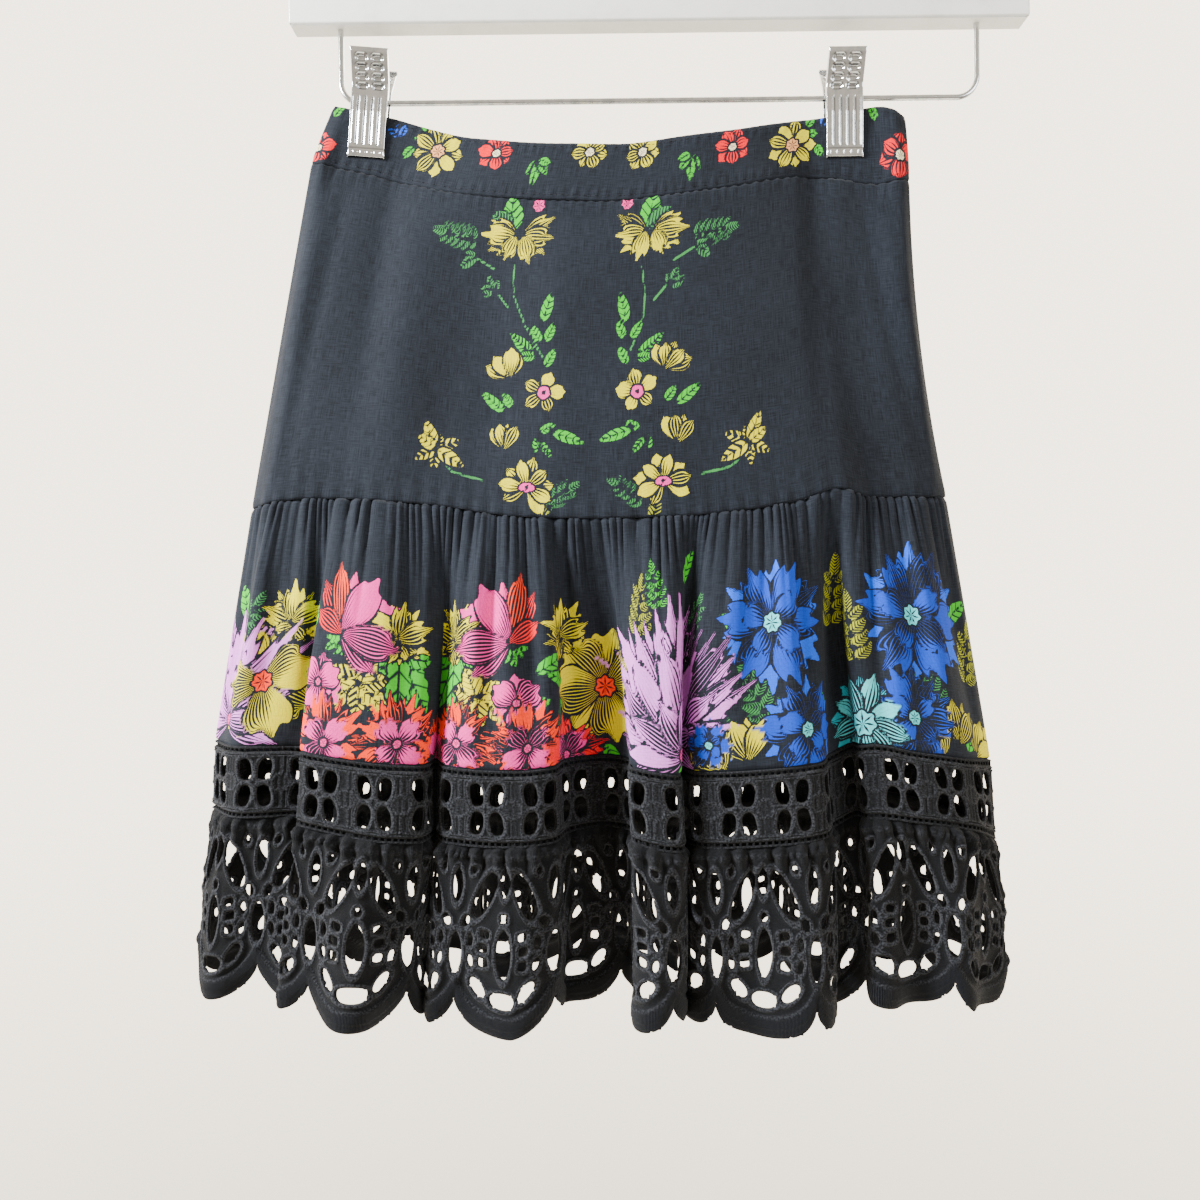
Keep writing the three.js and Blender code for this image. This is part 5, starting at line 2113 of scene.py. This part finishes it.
    def build(self, chrome: Material) -> None:
        """Make the two jaws and the coil.

        Args:
            chrome: Their finish.
        """
        for end in ("front", "rear"):
            self.build_jaw(end, chrome)
        angles = np.linspace(0, 2 * np.pi * self.coil_turns, self.coil_turns * 24 + 1)
        along = np.linspace(-self.coil_half, self.coil_half, len(angles))
        coil = [
            (self.spring_x + a, self.coil_radius * math.cos(w), self.run_z + self.coil_radius * math.sin(w))
            for a, w in zip(along, angles)
        ]
        Rod(f"coil_{self.name}", coil, self.coil_wire, f"clip_{self.name}_spring").build(chrome)


@dataclass(frozen=True)
class Lamp:
    """A square soft light, hung at a place and turned to another.

    Attributes:
        name: Its name.
        at: Its place.
        to: What it is turned to.
        size: The length of its side.
        power: Its power in watts.
        colour: Its colour.
    """

    name: str
    at: Point
    to: Point
    size: float
    power: float
    colour: Point = (0.94, 0.97, 1.0)

    def build(self) -> None:
        """Hang the light."""
        data = bpy.data.lights.new(self.name, "AREA")
        data.size, data.energy, data.color = self.size, self.power, self.colour
        lamp = bpy.data.objects.new(self.name, data)
        lamp.location = self.at
        lamp.rotation_euler = (Vector(self.to) - Vector(self.at)).to_track_quat("-Z", "Y").to_euler()
        bpy.context.scene.collection.objects.link(lamp)


@dataclass
class Studio:
    """The camera, the lights and the pale room."""

    camera_at: Point = (-0.0356, -0.478, -0.410)
    camera_turn: Point = (math.pi / 2, math.radians(0.65), 0.0)
    lens: float = 27.03
    sensor: float = 36.0
    shift_x: float = 2 / 1200
    nearest: float = 0.01
    floor_z: float = -2.0
    floor_size: float = 2.4
    floor_colours: tuple[str, str] = ("E9E6DE", "E2DFD6")
    wall_colour: str = "F4E8D4"
    wall_glow: float = 4.8
    room_glow: float = 1.0
    under_glow: float = 0.16
    lamps: tuple[Lamp, ...] = (
        Lamp("key", (-1.5, -0.62, 0.3), (0.0, 0.0, -0.38), 0.5, 135.0),
        Lamp("fill", (1.3, -1.2, 0.1), (0.0, 0.0, -0.4), 0.9, 22.0),
        Lamp("back", (0.7, 1.5, 0.6), (0.0, 0.0, -0.35), 0.8, 22.0, (1.0, 0.99, 0.97)),
    )

    def build(self) -> None:
        """Make the camera, the floor, the lights and the world."""
        data = bpy.data.cameras.new("camera")
        data.lens, data.sensor_width, data.shift_x = self.lens, self.sensor, self.shift_x
        data.clip_start = self.nearest
        camera = bpy.data.objects.new("camera", data)
        camera.location, camera.rotation_euler = self.camera_at, self.camera_turn
        bpy.context.scene.collection.objects.link(camera)
        bpy.context.scene.camera = camera
        self.build_floor()
        for lamp in self.lamps:
            lamp.build()
        self.build_world()

    def build_world(self) -> None:
        """Make the pale room: a bright wall behind the skirt, and a dimmer room before it."""
        world = bpy.data.worlds.new("pale_room")
        world.use_nodes = True
        nodes = Nodes(world.node_tree)
        ways = nodes.split(nodes.node("ShaderNodeTexCoord").outputs["Generated"])
        wall = nodes.ramp(ways["Y"], -0.55, 0.75, self.room_glow, self.wall_glow)
        below = nodes.ramp(ways["Z"], -1.05, -0.1, self.under_glow, 1.0)
        background = nodes.tree.nodes["Background"].inputs
        nodes.feed(background["Strength"], nodes.times(wall, below))
        nodes.feed(background["Color"], linear(self.wall_colour))
        bpy.context.scene.world = world

    def build_floor(self) -> None:
        """Make the pale floor."""
        work = bmesh.new()
        place = Matrix.Translation(Vector((0, 0, self.floor_z)))
        bmesh.ops.create_grid(work, x_segments=1, y_segments=1, size=self.floor_size / 2, matrix=place)
        mesh = to_mesh(work, "floor")
        shader = Shader("pale_floor")
        grain = shader.noise(shader.place((4, 4, 4)), 3.0, 4)
        shader.set(Base_Color=shader.mix(grain, *map(linear, self.floor_colours)), Roughness=0.8)
        mesh.materials.append(shader.material)
        floor = bpy.data.objects.new("floor", mesh)
        bpy.context.scene.collection.objects.link(floor)


@dataclass
class Skirt:
    """The skirt: for each side a waistband, an upper panel, a gathered tier, a lace band and a ruffle."""

    def pieces(self, side: Side) -> Iterable[ClothPiece]:
        """Yield the cut pieces of one side, from the waist down.

        Args:
            side: Front or back. The back's cells are coarser, and its lace holes smaller.

        Yields:
            Each piece.
        """
        back, end = side is Side.BACK, side.value
        flower = CUTS["lace_band"][0] / FLOWERS
        flowers = {"repeat": flower, "holes": BAND_HOLES}
        scallops = {"repeat": CUTS["lace_ruffle"][0] / SCALLOPS, "above": 5, "holes": RUFFLE_HOLES}
        if back:
            flowers.update(holes=shrunk(BAND_HOLES, 0.56), shift=flower / 2)
            scallops.update(holes=shrunk(RUFFLE_HOLES, 0.86))
        clips = (f"clip_left_{end}", f"clip_right_{end}")
        for kind, piece, cells, wall, held, carriers, more in (
            (Waistband, "waistband", (1.1, 1.4), 1.6, "hung", clips, {}),
            (UpperPanel, "upper", (1.42, 2.1), 1.2, "hung", (f"cloth_waistband_{end}",), {}),
            (GatheredTier, "tier", (1.4, 2.05), 1.0, "gathered", (f"cloth_upper_{end}",), {"below": 4}),
            (LaceBand, "lace_band", (1.05, 1.05), 1.2, "hung", (f"cloth_tier_{end}",), flowers),
            (LaceRuffle, "lace_ruffle", (1.13, 1.65), 1.3, "gathered", (f"cloth_lace_band_{end}",), scallops),
        ):
            yield kind(piece, side, *CUTS[piece], cells[back], wall, held, carriers, **more)

    def build(self, cotton: Material, lace: Material, thread: Material) -> None:
        """Make all the cloth and its stitches.

        Args:
            cotton: The printed cotton.
            lace: The lace.
            thread: The sewing thread.
        """
        for side in Side:
            for piece in self.pieces(side):
                piece.build(cotton if isinstance(piece, PrintedPiece) else lace)
            Topstitching(side).build(thread)


def main() -> None:
    """Build the studio, the hanger and the skirt."""
    logging.basicConfig(level=logging.INFO, format="%(name)s: %(message)s")
    Studio().build()
    chrome = Chrome().make()
    Hanger().build(WhitePaint().make(), chrome)
    Clip("left", x=-152.9, spring_x=-151.5, tilt=5, lift=1).build(chrome)
    Clip("right", x=97.3, spring_x=97.3, tilt=0, lift=-1.5).build(chrome)
    Skirt().build(PrintedCotton().make(), BlackLace().make(), Thread().make())


if __name__ == "__main__":
    main()
